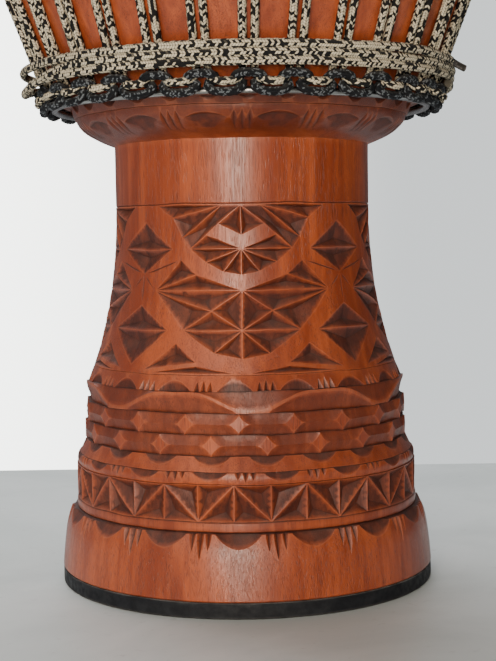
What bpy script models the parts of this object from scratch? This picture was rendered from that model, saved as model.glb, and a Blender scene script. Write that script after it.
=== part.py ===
"""A carved djembe: a goblet drum cut from one log, laced with one rope, standing on a rubber-rimmed foot.

Everything is in metres, with +Z up and the origin on the floor under the middle of the foot. Turns are in
degrees, counted to the right from the front, which faces -Y. The carving is drawn flat, band by band, as
turn, height and depth into the wood, and then wrapped round the drum.
"""

import math

import bpy
from mathutils import Vector
from mathutils.geometry import delaunay_2d_cdt

MM = 0.001
FIT_GAP = 0.3 * MM
FULL_TURN = 360.0

# Outside radii of the wood, from the floor up
FOOT_RADIUS = 117.5 * MM
FOOT_BELLY_RADIUS = 115.3 * MM
FOOT_SHOULDER_RADIUS = 111.4 * MM
STRIP_RADIUS = 108.0 * MM
CELL_RADIUS = 107.5 * MM
RING_RADIUS = 107.0 * MM
CONE_RADIUS = 105.2 * MM
VALLEY_RADIUS = 101.4 * MM
BEAD_RADIUS = 101.9 * MM
WAVE_RADIUS = 100.6 * MM
ARCH_RADIUS = 99.2 * MM
PANEL_RADIUS = 95.4 * MM
NECK_RADIUS = 79.8 * MM
COLLAR_RADIUS = 103.4 * MM
COLLAR_BAND_RADIUS = 107.0 * MM
BOWL_BOTTOM_RADIUS = 112.3 * MM
BOWL_RADIUS = 167.0 * MM
RIM_RADIUS = 165.5 * MM

# Heights of the bands, stacked from the floor up
RUBBER_HEIGHT = 9.3 * MM
FOOT_PLAIN_HEIGHT = 22.0 * MM
FOOT_CARVED_HEIGHT = 15.5 * MM
STRIP_HEIGHT = 5.8 * MM
CELL_HEIGHT = 21.0 * MM
RING_HEIGHT = 6.6 * MM
CONE_HEIGHT = 8.3 * MM
BEAD_HEIGHT = 11.8 * MM
WAVE_HEIGHT = 12.2 * MM
ARCH_HEIGHT = 8.8 * MM
PANEL_HEIGHT = 98.0 * MM
NECK_HEIGHT = 37.6 * MM
COLLAR_HEIGHT = 17.0 * MM
COLLAR_BAND_HEIGHT = 6.0 * MM
BOWL_HEIGHT = 313.0 * MM
LEDGE = 0.3 * MM
BOWL_WIDEST_SHARE = 0.64
BOWL_BENDS = (0.0, 0.15, 0.4, 0.68)
BOWL_FOOT_STEP = 2.0 * MM
SHOULDER_DROP = 60.0 * MM
RIM_ROUND = 5.0 * MM
COLLAR_LIP = 1.0 * MM

# Hollow of the wood
FOOT_BORE_RADIUS = 98.0 * MM
STEM_BORE_RADIUS = 72.0 * MM
THROAT_RADIUS = 60.0 * MM
BOWL_WALL = 20.0 * MM
RIM_WALL = 14.0 * MM
WIDEST_WALL = 16.0 * MM
LOW_BOWL_WALL = 24.0 * MM
RIM_FALL = 2.0 * MM
THROAT_RISE = 8.0 * MM

# Depths of the cuts
FOOT_CUT = 2.9 * MM
CELL_CUT = 4.0 * MM
RING_CUT = 1.5 * MM
CONE_CUT = 1.3 * MM
BEAD_CUT = 2.7 * MM
BEAD_RIDGE_CUT = 1.0 * MM
WAVE_CUT = 2.6 * MM
ARCH_CUT = 1.8 * MM
PANEL_CUT = 3.8 * MM
COLLAR_CUT = 2.0 * MM

# Repeats round the drum, and the turn of one repeat's middle
SCALLOPS = 16
SCALLOP_TURN = -2.3
CELL_TURN = -3.6
RING_TURN = 11.2
BEADS = 20
LOW_BEAD_TURN = 7.0
HIGH_BEAD_TURN = -2.0
WAVES = 7
WAVE_TURN = 2.5
ARCHES = 17
ARCH_TURN = -3.2
PANELS = 4
PANEL_TURN = -0.5
COLLAR_NOTCHES = 15
COLLAR_TURN = 12.6
PLAIN_SIDES = 36
BORE_SIDES = 24
FLAT_STEP = 15.5

# Rope, cords, rings and skin
ROPE_PAIRS = 30
PAIR_TURN = 2.3
PAIR_SPREAD = 1.5
ROPE_DIAMETER = 4.8 * MM
CORD_DIAMETER = 4.4 * MM
RING_ROD = 6.0 * MM
BOTTOM_RING_RADIUS = 116.5 * MM
BOTTOM_RING_DROP = 2.3 * MM
SECTION = ((1.0, 0.0), (-1.0, -1.0), (-1.0, 1.0))
# Offsets from the ring's middle as (outward, upward): the rope between pairs, where it starts to climb,
# and over the crown ring
LOW_BEND = (8.0 * MM, 3.5 * MM)
CLIMB_START = (4.4 * MM, 8.3 * MM)
CROWN_BEND = (4.0 * MM, 6.4 * MM)
# One wave of the cradle in four quarters, from over a rope pair, as (outward, upward) of the ring's middle
CRADLE_WAVE = (
    (10.0 * MM, 8.4 * MM),
    (11.4 * MM, 3.4 * MM),
    (6.2 * MM, -1.9 * MM),
    (11.4 * MM, 3.4 * MM),
)
WRAP_TURNS = 3
WRAP_PITCH = 4.4 * MM
WRAP_RISE = 11.0 * MM
WRAP_RADIUS = 130.7 * MM
WRAP_LEAN = 0.16
WRAP_END_TURN = 74.0
WRAP_STUB = 9.0 * MM
WRAP_STUB_DROP = 0.5 * MM
SKIN_THICKNESS = 1.5 * MM
SKIN_ROLL = 11.0 * MM
SKIN_DROP = 45.0 * MM
SKIN_CORNER = 6.0 * MM
RUBBER_INSET = 1.0 * MM

# Heights worked out from the bands
FOOT_Z = RUBBER_HEIGHT + FIT_GAP
FOOT_CARVED_Z = FOOT_Z + FOOT_PLAIN_HEIGHT
STRIP_Z = FOOT_CARVED_Z + FOOT_CARVED_HEIGHT + LEDGE
CELL_Z = STRIP_Z + STRIP_HEIGHT + LEDGE
RING_Z = CELL_Z + CELL_HEIGHT + LEDGE
CONE_Z = RING_Z + RING_HEIGHT + LEDGE
LOW_BEAD_Z = CONE_Z + CONE_HEIGHT + LEDGE
HIGH_BEAD_Z = LOW_BEAD_Z + BEAD_HEIGHT + LEDGE
WAVE_Z = HIGH_BEAD_Z + BEAD_HEIGHT + LEDGE
ARCH_Z = WAVE_Z + WAVE_HEIGHT + LEDGE
PANEL_Z = ARCH_Z + ARCH_HEIGHT + LEDGE
NECK_Z = PANEL_Z + PANEL_HEIGHT + LEDGE
COLLAR_Z = NECK_Z + NECK_HEIGHT
COLLAR_BAND_Z = COLLAR_Z + COLLAR_HEIGHT + LEDGE
BOWL_Z = COLLAR_BAND_Z + COLLAR_BAND_HEIGHT + BOWL_FOOT_STEP
RIM_Z = BOWL_Z + BOWL_HEIGHT

MATERIALS = {
    "red_wood": ((0.33, 0.085, 0.028), 0.42, 0.0),
    "black_rubber": ((0.012, 0.014, 0.02), 0.65, 0.0),
    "bright_steel": ((0.62, 0.62, 0.60), 0.28, 1.0),
    "black_cord": ((0.015, 0.018, 0.022), 0.7, 0.0),
    "braided_rope": ((0.47, 0.42, 0.31), 0.8, 0.0),
    "drum_skin": ((0.66, 0.54, 0.38), 0.55, 0.0),
}


# The right half of a panel: turn from its middle, and share of its height
PANEL_SPOTS = {
    "neck middle": (0.0, 0.994),
    "neck near": (7.9, 0.994),
    "neck far": (37.6, 0.994),
    "chevron middle": (0.0, 0.815),
    "chevron peak": (9.9, 0.88),
    "chevron foot": (14.6, 0.818),
    "smile far": (29.8, 0.916),
    "smile near": (25.4, 0.8),
    "fan hub": (0.0, 0.735),
    "fan side": (21.6, 0.735),
    "fan left": (14.7, 0.655),
    "fan right": (7.4, 0.601),
    "fan low": (0.0, 0.582),
    "star corner": (37.8, 0.49),
    "star shoulder": (25.7, 0.668),
    "star brow": (18.8, 0.582),
    "star hub": (0.0, 0.49),
    "star knee": (11.8, 0.368),
    "star foot": (22.8, 0.255),
    "low hub": (0.0, 0.255),
    "low knee": (10.2, 0.122),
    "low end": (0.0, 0.09),
    "pit far": (38.5, 0.022),
    "pit top": (25.5, 0.178),
    "pit near": (16.6, 0.068),
    "sliver far": (34.5, 0.008),
    "sliver top": (16.6, 0.05),
    "sliver near": (2.5, 0.008),
}
# Pits by their corners, and the number of the corner that each is deepest towards
PANEL_CHIPS = (
    (("neck middle", "chevron middle", "chevron peak"), 1),
    (("neck near", "neck far", "smile far"), 1),
    (("neck near", "smile far", "smile near"), 2),
    (("neck middle", "neck near", "smile near", "fan side", "chevron peak"), 2),
    (("fan hub", "chevron foot", "fan side"), 1),
    (("fan hub", "fan side", "fan left"), 1),
    (("fan hub", "fan left", "fan right"), 1),
    (("fan hub", "fan right", "fan low"), 1),
    (("star corner", "star shoulder", "star brow"), 1),
    (("star corner", "star brow", "star hub"), 1),
    (("star corner", "star hub", "star knee"), 2),
    (("star corner", "star knee", "star foot"), 1),
    (("star hub", "star knee", "low hub"), 1),
    (("star knee", "star foot", "low hub"), 0),
    (("star foot", "low hub", "low knee"), 2),
    (("low hub", "low knee", "low end"), 1),
    (("pit far", "pit top", "pit near"), 1),
    (("sliver far", "sliver top", "sliver near"), 1),
)
# Diamonds on the seams between panels: the shares of their middle, upper tip and lower tip
DIAMONDS = ((0.735, 0.9, 0.585), (0.252, 0.4, 0.045))
DIAMOND_HALF_TURN = 15.2


def clear_scene():
    """Empty the file of objects."""
    for old in list(bpy.data.objects):
        bpy.data.objects.remove(old, do_unlink=True)


def make_material(name):
    """A plain finish from the table above."""
    colour, roughness, metallic = MATERIALS[name]
    material = bpy.data.materials.new(name)
    material.use_nodes = True
    shader = material.node_tree.nodes["Principled BSDF"]
    shader.inputs["Base Color"].default_value = (*colour, 1.0)
    shader.inputs["Roughness"].default_value = roughness
    shader.inputs["Metallic"].default_value = metallic
    return material


def add_object(name, points, faces, material, smooth_angle=30.0):
    """A named mesh object, shaded smooth but for edges sharper than the given angle."""
    mesh = bpy.data.meshes.new(name)
    mesh.from_pydata(points, [], faces)
    mesh.validate()
    mesh.shade_smooth()
    mesh.set_sharp_from_angle(angle=math.radians(smooth_angle))
    mesh.materials.append(material)
    made = bpy.data.objects.new(name, mesh)
    bpy.context.scene.collection.objects.link(made)
    return made


def around(turn, radius, height):
    """The point at a turn from the front, a radius and a height."""
    angle = math.radians(turn)
    return (radius * math.sin(angle), -radius * math.cos(angle), height)


def blend(start, end, share):
    """The value a share of the way from start to end."""
    return start + (end - start) * share


class Relief:
    """One repeat of a band of carving, drawn flat about its own middle."""

    def __init__(self, repeats, low, height, radius):
        self.half = FULL_TURN / repeats / 2
        self.repeats = repeats
        self.low = low
        self.high = low + height
        self.stretch = math.radians(1) * radius
        self.spots = {}
        self.edges = []
        corners = [self.spot(turn, share) for turn in (-self.half, self.half) for share in (0.0, 1.0)]
        for start, end in ((0, 1), (2, 3), (0, 2), (1, 3)):
            self.edges.append((corners[start], corners[end]))

    def turn_of(self, width):
        """The turn that a width takes up on this band."""
        return width / self.stretch

    def spot(self, turn, share, depth=0.0):
        """The number of the point at a turn and a share of the band's height; the deepest cut counts."""
        key = (round(turn, 5), round(share, 6))
        number, cut = self.spots.get(key, (len(self.spots), 0.0))
        self.spots[key] = (number, max(cut, depth))
        return number

    def hem(self, *levels):
        """Uncut edges of the band, bent round the drum in flat steps."""
        for level in levels:
            self.line((-self.half, level), (self.half, level))

    def line(self, *stops):
        """A cut or a ridge through stops of (turn, share, depth), bent round the drum in flat steps."""
        for start, end in zip(stops, stops[1:]):
            start, end = (*start, 0.0)[:3], (*end, 0.0)[:3]
            steps = max(1, math.ceil(abs(end[0] - start[0]) / FLAT_STEP))
            numbers = [
                self.spot(*(blend(a, b, step / steps) for a, b in zip(start, end)))
                for step in range(steps + 1)
            ]
            self.edges.extend(zip(numbers, numbers[1:]))

    def chip(self, corners, depth, pull=0):
        """A pit inside the corners, its deepest point drawn towards the corner numbered pull."""
        weights = [1.9 if number == pull else 1.0 for number in range(len(corners))]
        total = sum(weights)
        turn = sum(w * corner[0] for w, corner in zip(weights, corners)) / total
        share = sum(w * corner[1] for w, corner in zip(weights, corners)) / total
        self.line(*corners, corners[0])
        self.bottom_of(corners, turn, share, depth)

    def bottom_of(self, corners, turn, share, depth):
        """Valleys from the deepest point of a pit out to its corners."""
        deepest = self.spot(turn, share, depth)
        for corner in corners:
            self.edges.append((deepest, self.spot(corner[0], corner[1])))

    def lune(self, middle, half_turn, base, rise, depth, steps=6):
        """A scoop that is deepest along the base line and runs out at an arc above or below it."""
        arc = []
        line = []
        for step in range(steps + 1):
            across = 2 * step / steps - 1
            swell = 1 - across * across
            arc.append((middle + across * half_turn, base + rise * swell))
            line.append((middle + across * half_turn, base, depth * math.sqrt(swell)))
        self.line(*line)
        self.line(*arc)

    def notch(self, middle, half_turn, base, rise, depth):
        """A pointed cut that is deepest where it meets the base line."""
        tip = (middle, base + rise)
        self.line((middle - half_turn, base), tip, (middle + half_turn, base))
        self.line((middle, base, depth), tip)

    def half_notch(self, side, half_turn, base, rise, depth):
        """The half of a pointed cut that lies on this side of the seam between repeats."""
        tip = (side * self.half, base + rise)
        self.line((side * (self.half - half_turn), base), tip)
        self.line((side * self.half, base, depth), tip)

    def flat_mesh(self):
        """The points as (turn, height, depth), and the triangles between them."""
        ordered = sorted(
            (number, turn, share, depth) for (turn, share), (number, depth) in self.spots.items()
        )
        height = self.high - self.low
        flat = [Vector((turn * self.stretch, share * height)) for _, turn, share, _ in ordered]
        made = delaunay_2d_cdt(flat, self.edges, [], 0, 1e-7)
        points = []
        for place, origins in zip(made[0], made[3]):
            depth = max((ordered[number][3] for number in origins), default=0.0)
            points.append((place.x / self.stretch, self.low + place.y, depth))
        return points, made[2]


class Skin:
    """The outside and inside of the turned wood, gathered ring by ring into one closed surface."""

    def __init__(self):
        self.points = []
        self.faces = []
        self.places = {}

    def add(self, turn, radius, height):
        """The number of a point, shared with one already there."""
        turn %= FULL_TURN
        key = (round(turn, 3) % FULL_TURN, round(height * 1e6), round(radius * 1e6))
        if key not in self.places:
            self.places[key] = len(self.points)
            self.points.append(around(turn, radius, height))
        return self.places[key], turn

    def plain_ring(self, radius, height, sides, phase=0.0):
        """A round ring of points, as (turn, number) in order of turn."""
        ring = [self.add(phase + FULL_TURN * side / sides, radius, height) for side in range(sides)]
        return sorted((turn, number) for number, turn in ring)

    def band(self, relief, phase, radius_at):
        """Wraps a relief round the wood. Returns its lower and its upper ring."""
        points, triangles = relief.flat_mesh()
        lower, upper = {}, {}
        for repeat in range(relief.repeats):
            centre = phase + FULL_TURN * repeat / relief.repeats
            numbers = []
            for turn, height, depth in points:
                number, place = self.add(centre + turn, radius_at(height) - depth, height)
                numbers.append(number)
                if abs(height - relief.low) < 1e-7:
                    lower[number] = place
                if abs(height - relief.high) < 1e-7:
                    upper[number] = place
            self.faces.extend([numbers[corner] for corner in triangle] for triangle in triangles)
        return tuple(sorted((turn, number) for number, turn in ring.items()) for ring in (lower, upper))

    def stitch(self, lower, upper):
        """Closes the belt between two rings, whatever their numbers of points."""
        start = min(range(len(upper)), key=lambda n: abs((upper[n][0] - lower[0][0] + 180) % 360 - 180))
        first = upper[start][0] - lower[0][0]
        shift = -FULL_TURN if first > 180 else (FULL_TURN if first < -180 else 0.0)
        below = lower + [(turn + FULL_TURN, number) for turn, number in lower[:1]]
        above = [
            (upper[(start + n) % len(upper)][0] + shift + FULL_TURN * ((start + n) // len(upper)),
             upper[(start + n) % len(upper)][1])
            for n in range(len(upper) + 1)
        ]
        low, high = 0, 0
        while low < len(lower) or high < len(upper):
            take_low = high == len(upper) or (
                low < len(lower) and below[low + 1][0] - above[high][0] <= above[high + 1][0] - below[low][0]
            )
            if take_low:
                self.faces.append([below[low][1], below[low + 1][1], above[high][1]])
                low += 1
            else:
                self.faces.append([below[low][1], above[high + 1][1], above[high][1]])
                high += 1


def straight(low, low_radius, high, high_radius):
    """A profile that runs straight between two heights."""
    return lambda height: blend(low_radius, high_radius, (height - low) / (high - low))


def foot_relief():
    """Scallops and triple notches hanging from the shoulder of the foot."""
    relief = Relief(SCALLOPS, FOOT_CARVED_Z, FOOT_CARVED_HEIGHT, FOOT_SHOULDER_RADIUS)
    relief.hem(0.0)
    relief.lune(0.0, relief.turn_of(13.7 * MM), 1.0, -0.5, FOOT_CUT, 4)
    for side in (-1, 1):
        relief.half_notch(side, relief.turn_of(2.4 * MM), 1.0, -0.95, 0.8 * FOOT_CUT)
        aside = side * (relief.half - relief.turn_of(4.9 * MM))
        relief.notch(aside, relief.turn_of(2.1 * MM), 1.0, -0.6, 0.7 * FOOT_CUT)
    return relief


def cell_relief():
    """Two upright cells, each parted by a diagonal into two three-sided pits."""
    relief = Relief(SCALLOPS, CELL_Z, CELL_HEIGHT, CELL_RADIUS)
    for side in (-1, 1):
        edge = side * relief.half
        relief.chip([(0.0, 0.0), (0.0, 1.0), (edge, 0.0)], CELL_CUT)
        relief.chip([(edge, 1.0), (0.0, 1.0), (edge, 0.0)], CELL_CUT)
    return relief


def ring_relief():
    """Small scallops under the edge of the rounded ring."""
    relief = Relief(SCALLOPS, RING_Z, RING_HEIGHT, RING_RADIUS)
    relief.hem(0.0)
    relief.lune(0.0, relief.turn_of(10.5 * MM), 1.0, -0.72, RING_CUT, 4)
    return relief


def cone_relief():
    """Scallops on the slope that falls into the valley under the beads."""
    relief = Relief(BEADS, CONE_Z, CONE_HEIGHT, CONE_RADIUS)
    relief.hem(0.0)
    relief.lune(0.0, relief.turn_of(11.0 * MM), 1.0, -0.6, CONE_CUT, 4)
    return relief


def bead_relief(low):
    """A flat four-pointed land, with an upper and a lower scoop between it and the next."""
    relief = Relief(BEADS, low, BEAD_HEIGHT, BEAD_RADIUS)
    wide = relief.turn_of(5.6 * MM)
    waist = relief.turn_of(2.1 * MM)
    for side in (-1, 1):
        edge = side * relief.half
        relief.line((side * wide, 0.5), (edge, 0.5, BEAD_RIDGE_CUT))
        for level, tip, shoulder in ((0.0, 0.04, 0.32), (1.0, 0.96, 0.68)):
            relief.line((0.0, level, 0.4 * MM), (edge, level, BEAD_CUT))
            relief.line((0.0, tip), (side * waist, shoulder), (side * wide, 0.5))
    return relief


def wave_relief():
    """A wavy crest between scoops that hang from the top line and scoops that stand on the bottom line."""
    relief = Relief(WAVES, WAVE_Z, WAVE_HEIGHT, WAVE_RADIUS)
    trough, shoulder = 6.0, 19.5
    for side in (-1, 1):
        crest, top, bottom = [], [], []
        for turn in (0.0, trough, 12.7, shoulder, relief.half):
            share = min(1.0, max(0.0, (turn - trough) / (shoulder - trough)))
            ease = share * share * (3 - 2 * share)
            crest.append((side * turn, 0.12 + 0.82 * ease))
            top.append((side * turn, 1.0, WAVE_CUT * (1 - ease)))
            bottom.append((side * turn, 0.0, WAVE_CUT * ease))
        for course in (crest, top, bottom):
            relief.line(*course)
    return relief


def arch_relief():
    """Half moons that stand on the lower line."""
    relief = Relief(ARCHES, ARCH_Z, ARCH_HEIGHT, ARCH_RADIUS)
    relief.hem(1.0)
    relief.lune(0.0, relief.turn_of(10.3 * MM), 0.0, 0.68, ARCH_CUT, 4)
    return relief


def panel_relief():
    """The big panel: fans and stars of pits between smile-shaped lands, and the halves of four diamonds."""
    relief = Relief(PANELS, PANEL_Z, PANEL_HEIGHT, NECK_RADIUS)
    relief.hem(0.0, 1.0)
    for side in (-1, 1):
        for names, pull in PANEL_CHIPS:
            corners = [(side * PANEL_SPOTS[name][0], PANEL_SPOTS[name][1]) for name in names]
            relief.chip(corners, PANEL_CUT, pull)
        for middle, high, low in DIAMONDS:
            tip = (side * (relief.half - DIAMOND_HALF_TURN), middle)
            relief.line((side * relief.half, middle), tip)
            for end in (high, low):
                relief.line(tip, (side * relief.half, end))
                relief.line(tip, (side * relief.half, blend(middle, end, 0.3), PANEL_CUT))
    return relief


def collar_relief():
    """Arched hollows and the notches between them, on the flare below the bowl."""
    relief = Relief(COLLAR_NOTCHES, COLLAR_Z, COLLAR_HEIGHT, COLLAR_RADIUS)
    relief.hem(0.0, 1.0)
    base = 0.45
    hollow = relief.turn_of(13.5 * MM)
    notch = relief.turn_of(2.4 * MM)
    relief.lune(0.0, hollow, base, 0.42, COLLAR_CUT, 4)
    for side in (-1, 1):
        relief.line((side * hollow, base), (side * (relief.half - notch), base))
        relief.half_notch(side, notch, base, 0.45, COLLAR_CUT)
    return relief


def panel_radius(height):
    """The stem's waist above the arches, straight at the neck and flaring downwards."""
    share = (NECK_Z - height) / (NECK_Z - PANEL_Z)
    return NECK_RADIUS + (PANEL_RADIUS - NECK_RADIUS) * max(0.0, share) ** 2.15


def collar_radius(height):
    """The flare from the neck to the groove under the bowl, steepest at the neck."""
    share = min(1.0, max(0.0, (height - COLLAR_Z) / COLLAR_HEIGHT))
    return NECK_RADIUS + (COLLAR_RADIUS - NECK_RADIUS) * math.sin(math.radians(90) * share ** 0.87)


def bowl_radius(height):
    """The outside of the bowl: full below, straight above its widest level, drawn in at the rim."""
    widest = BOWL_Z + BOWL_WIDEST_SHARE * BOWL_HEIGHT
    if height > widest:
        share = (height - widest) / (RIM_Z - widest)
        return BOWL_RADIUS - (BOWL_RADIUS - RIM_RADIUS) * share ** 3
    share = (widest - height) / (widest - BOWL_Z)
    return BOWL_RADIUS - (BOWL_RADIUS - BOWL_BOTTOM_RADIUS) * share ** 1.85


def bowl_levels():
    """Heights at which both the bowl and the ropes over it bend."""
    return [BOWL_Z + share * BOWL_HEIGHT for share in BOWL_BENDS]


def drum_shell():
    """The one piece of wood: foot, carved stem, neck, collar and hollow bowl."""
    skin = Skin()
    rings = []

    def carved(relief, phase, radius_at):
        lower, upper = skin.band(relief, phase, radius_at)
        if rings:
            skin.stitch(rings[-1], lower)
        rings.append(upper)

    def plain(radius, height, sides=PLAIN_SIDES):
        ring = skin.plain_ring(radius, height, sides)
        if rings:
            skin.stitch(rings[-1], ring)
        rings.append(ring)

    plain(FOOT_BORE_RADIUS, FOOT_Z, BORE_SIDES)
    first = rings[0]
    plain(FOOT_RADIUS, FOOT_Z)
    shoulder = FOOT_CARVED_Z + FOOT_CARVED_HEIGHT
    carved(foot_relief(), SCALLOP_TURN,
           straight(FOOT_CARVED_Z, FOOT_BELLY_RADIUS, shoulder, FOOT_SHOULDER_RADIUS))
    plain(STRIP_RADIUS, STRIP_Z)
    plain(STRIP_RADIUS, STRIP_Z + STRIP_HEIGHT)
    carved(cell_relief(), CELL_TURN, lambda height: CELL_RADIUS)
    carved(ring_relief(), RING_TURN, lambda height: RING_RADIUS)
    carved(cone_relief(), LOW_BEAD_TURN,
           straight(CONE_Z, CONE_RADIUS, CONE_Z + CONE_HEIGHT, VALLEY_RADIUS))
    carved(bead_relief(LOW_BEAD_Z), LOW_BEAD_TURN, lambda height: BEAD_RADIUS)
    carved(bead_relief(HIGH_BEAD_Z), HIGH_BEAD_TURN, lambda height: BEAD_RADIUS - 0.4 * MM)
    carved(wave_relief(), WAVE_TURN, lambda height: WAVE_RADIUS)
    carved(arch_relief(), ARCH_TURN, straight(ARCH_Z, ARCH_RADIUS, ARCH_Z + ARCH_HEIGHT, PANEL_RADIUS))
    carved(panel_relief(), PANEL_TURN, panel_radius)
    plain(NECK_RADIUS, NECK_Z)
    carved(collar_relief(), COLLAR_TURN, collar_radius)
    plain(COLLAR_RADIUS + COLLAR_LIP, COLLAR_BAND_Z)
    plain(COLLAR_BAND_RADIUS, COLLAR_BAND_Z + COLLAR_BAND_HEIGHT)
    for height in bowl_levels():
        plain(bowl_radius(height), height)
    plain(bowl_radius(RIM_Z - SHOULDER_DROP), RIM_Z - SHOULDER_DROP)
    plain(RIM_RADIUS, RIM_Z - RIM_ROUND)
    plain(RIM_RADIUS - RIM_ROUND, RIM_Z)
    low_bend, middle_bend = bowl_levels()[1:3]
    inside = [
        (RIM_RADIUS - RIM_WALL, RIM_Z - RIM_FALL),
        (BOWL_RADIUS - WIDEST_WALL, blend(BOWL_Z, RIM_Z, BOWL_WIDEST_SHARE)),
        (bowl_radius(middle_bend) - BOWL_WALL, middle_bend),
        (bowl_radius(low_bend) - LOW_BOWL_WALL, low_bend),
        (NECK_RADIUS, COLLAR_BAND_Z + THROAT_RISE),
        (THROAT_RADIUS, COLLAR_Z),
        (THROAT_RADIUS, NECK_Z),
        (STEM_BORE_RADIUS, PANEL_Z),
        (blend(STEM_BORE_RADIUS, FOOT_BORE_RADIUS, 0.7), CELL_Z),
    ]
    for radius, height in inside:
        plain(radius, height, BORE_SIDES)
    skin.stitch(rings[-1], first)
    return add_object("drum_shell", skin.points, skin.faces, make_material("red_wood"))


def turned(name, profile, sides, material, phase=0.0):
    """A closed ring turned from a profile of (radius, height) points that runs anticlockwise."""
    points = [around(phase + FULL_TURN * side / sides, radius, height)
              for side in range(sides) for radius, height in profile]
    count = len(profile)
    faces = []
    for side in range(sides):
        after = (side + 1) % sides
        for n in range(count):
            m = (n + 1) % count
            faces.append([side * count + n, after * count + n, after * count + m, side * count + m])
    return add_object(name, points, faces, material)


def rod_ring(name, radius, height, sides=BORE_SIDES):
    """A ring bent from round rod, with one of its flats' corners under each gap between rope pairs."""
    half = RING_ROD / 2
    profile = [(radius + half * math.cos(math.radians(a)), height + half * math.sin(math.radians(a)))
               for a in range(45, 405, 90)]
    return turned(name, profile, sides, make_material("bright_steel"), PAIR_TURN)


def sweep(name, course, half_deep, half_wide, material, closed=True):
    """A three-sided rope along a course of (turn, radius, height), its flat towards the drum."""
    centres = [Vector(around(*stop)) for stop in course]
    count = len(centres)
    points, faces = [], []
    for n, centre in enumerate(centres):
        before = centres[n - 1] if closed or n else centre
        after = centres[(n + 1) % count] if closed or n < count - 1 else centre
        along = (after - before).normalized()
        outward = Vector((centre.x, centre.y, 0.0)).normalized()
        across = along.cross(outward).normalized()
        outward = across.cross(along)
        for deep, wide in SECTION:
            points.append(tuple(centre + outward * deep * half_deep + across * wide * half_wide))
    sides = len(SECTION)
    for n in range(count if closed else count - 1):
        here, there = sides * n, sides * ((n + 1) % count)
        for side in range(sides):
            after = (side + 1) % sides
            faces.append([here + side, there + side, there + after, here + after])
    if not closed:
        last = sides * (count - 1)
        faces.append(list(range(sides)))
        faces.append(list(range(last + sides - 1, last - 1, -1)))
    return add_object(name, points, faces, material)


def lacing_rope():
    """The rope: up and down the bowl in pairs, past the bottom ring and over the crown ring."""
    half = 0.8 * ROPE_DIAMETER / 2
    stand_off = half + FIT_GAP + 0.2 * MM
    pair_step = FULL_TURN / ROPE_PAIRS
    roll_radius = skin_roll_radius() + SKIN_ROLL / 2 + half + FIT_GAP
    low = (BOTTOM_RING_RADIUS + LOW_BEND[0], bottom_ring_height() + LOW_BEND[1])
    top = (crown_ring_radius() + CROWN_BEND[0], crown_ring_height() + CROWN_BEND[1])
    climb = [(BOTTOM_RING_RADIUS + CLIMB_START[0], bottom_ring_height() + CLIMB_START[1])]
    climb += [(bowl_radius(height) + stand_off, height) for height in bowl_levels()[1:]]
    climb += [(roll_radius, RIM_Z - SKIN_DROP)]
    course = []
    for pair in range(ROPE_PAIRS):
        centre = PAIR_TURN + pair * pair_step
        course.append((centre - pair_step / 2, *low))
        course += [(centre - PAIR_SPREAD, *stop) for stop in climb]
        course.append((centre, *top))
        course += [(centre + PAIR_SPREAD, *stop) for stop in reversed(climb)]
    return sweep("lacing_rope", course, half, half, make_material("braided_rope"))


def wrap_rope():
    """The rope's tail: three turns over the lacing, and its free end at the right."""
    low = BOWL_Z + WRAP_RISE
    half_wide = (WRAP_PITCH - FIT_GAP) / 2 - 0.05 * MM
    half_deep = 0.9 * ROPE_DIAMETER / 2
    course = []
    for n in range(WRAP_TURNS * ROPE_PAIRS + 1):
        rise = WRAP_PITCH * n / ROPE_PAIRS
        turn = WRAP_END_TURN + FULL_TURN * n / ROPE_PAIRS
        course.append((turn, WRAP_RADIUS + WRAP_LEAN * rise, low + rise))
    turn, radius, height = course[-1]
    aside = math.degrees(WRAP_STUB / radius)
    course.append((turn + aside, radius + 0.75 * WRAP_STUB, height - WRAP_STUB_DROP))
    return sweep("wrap_rope", course, half_deep, half_wide, make_material("braided_rope"), closed=False)


def bottom_cradle():
    """Black cord in waves along the bottom ring: over the rope pairs and under the ring between them."""
    half = 0.78 * CORD_DIAMETER / 2
    quarters = len(CRADLE_WAVE)
    course = []
    for quarter in range(quarters * ROPE_PAIRS):
        outward, upward = CRADLE_WAVE[quarter % quarters]
        turn = PAIR_TURN + FULL_TURN * quarter / (quarters * ROPE_PAIRS)
        course.append((turn, BOTTOM_RING_RADIUS + outward, bottom_ring_height() + upward))
    return sweep("bottom_cradle", course, half, half, make_material("black_cord"))


def bottom_ring_height():
    """The level of the bottom ring, against the foot of the bowl."""
    return BOWL_Z - BOTTOM_RING_DROP


def skin_roll_radius():
    """The middle of the skin's rolled edge, just clear of the bowl."""
    return BOWL_RADIUS + SKIN_THICKNESS + SKIN_ROLL / 2 - 1.0 * MM


def crown_ring_radius():
    """The middle of the crown ring's rod, just clear of the skin."""
    return bowl_radius(RIM_Z - SKIN_DROP) + SKIN_THICKNESS + RING_ROD / 2 + 6 * FIT_GAP


def crown_ring_height():
    """The crown ring's level, pressing on the skin's rolled edge."""
    return RIM_Z - SKIN_DROP + SKIN_ROLL / 2 + RING_ROD / 2 + 2 * FIT_GAP


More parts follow.
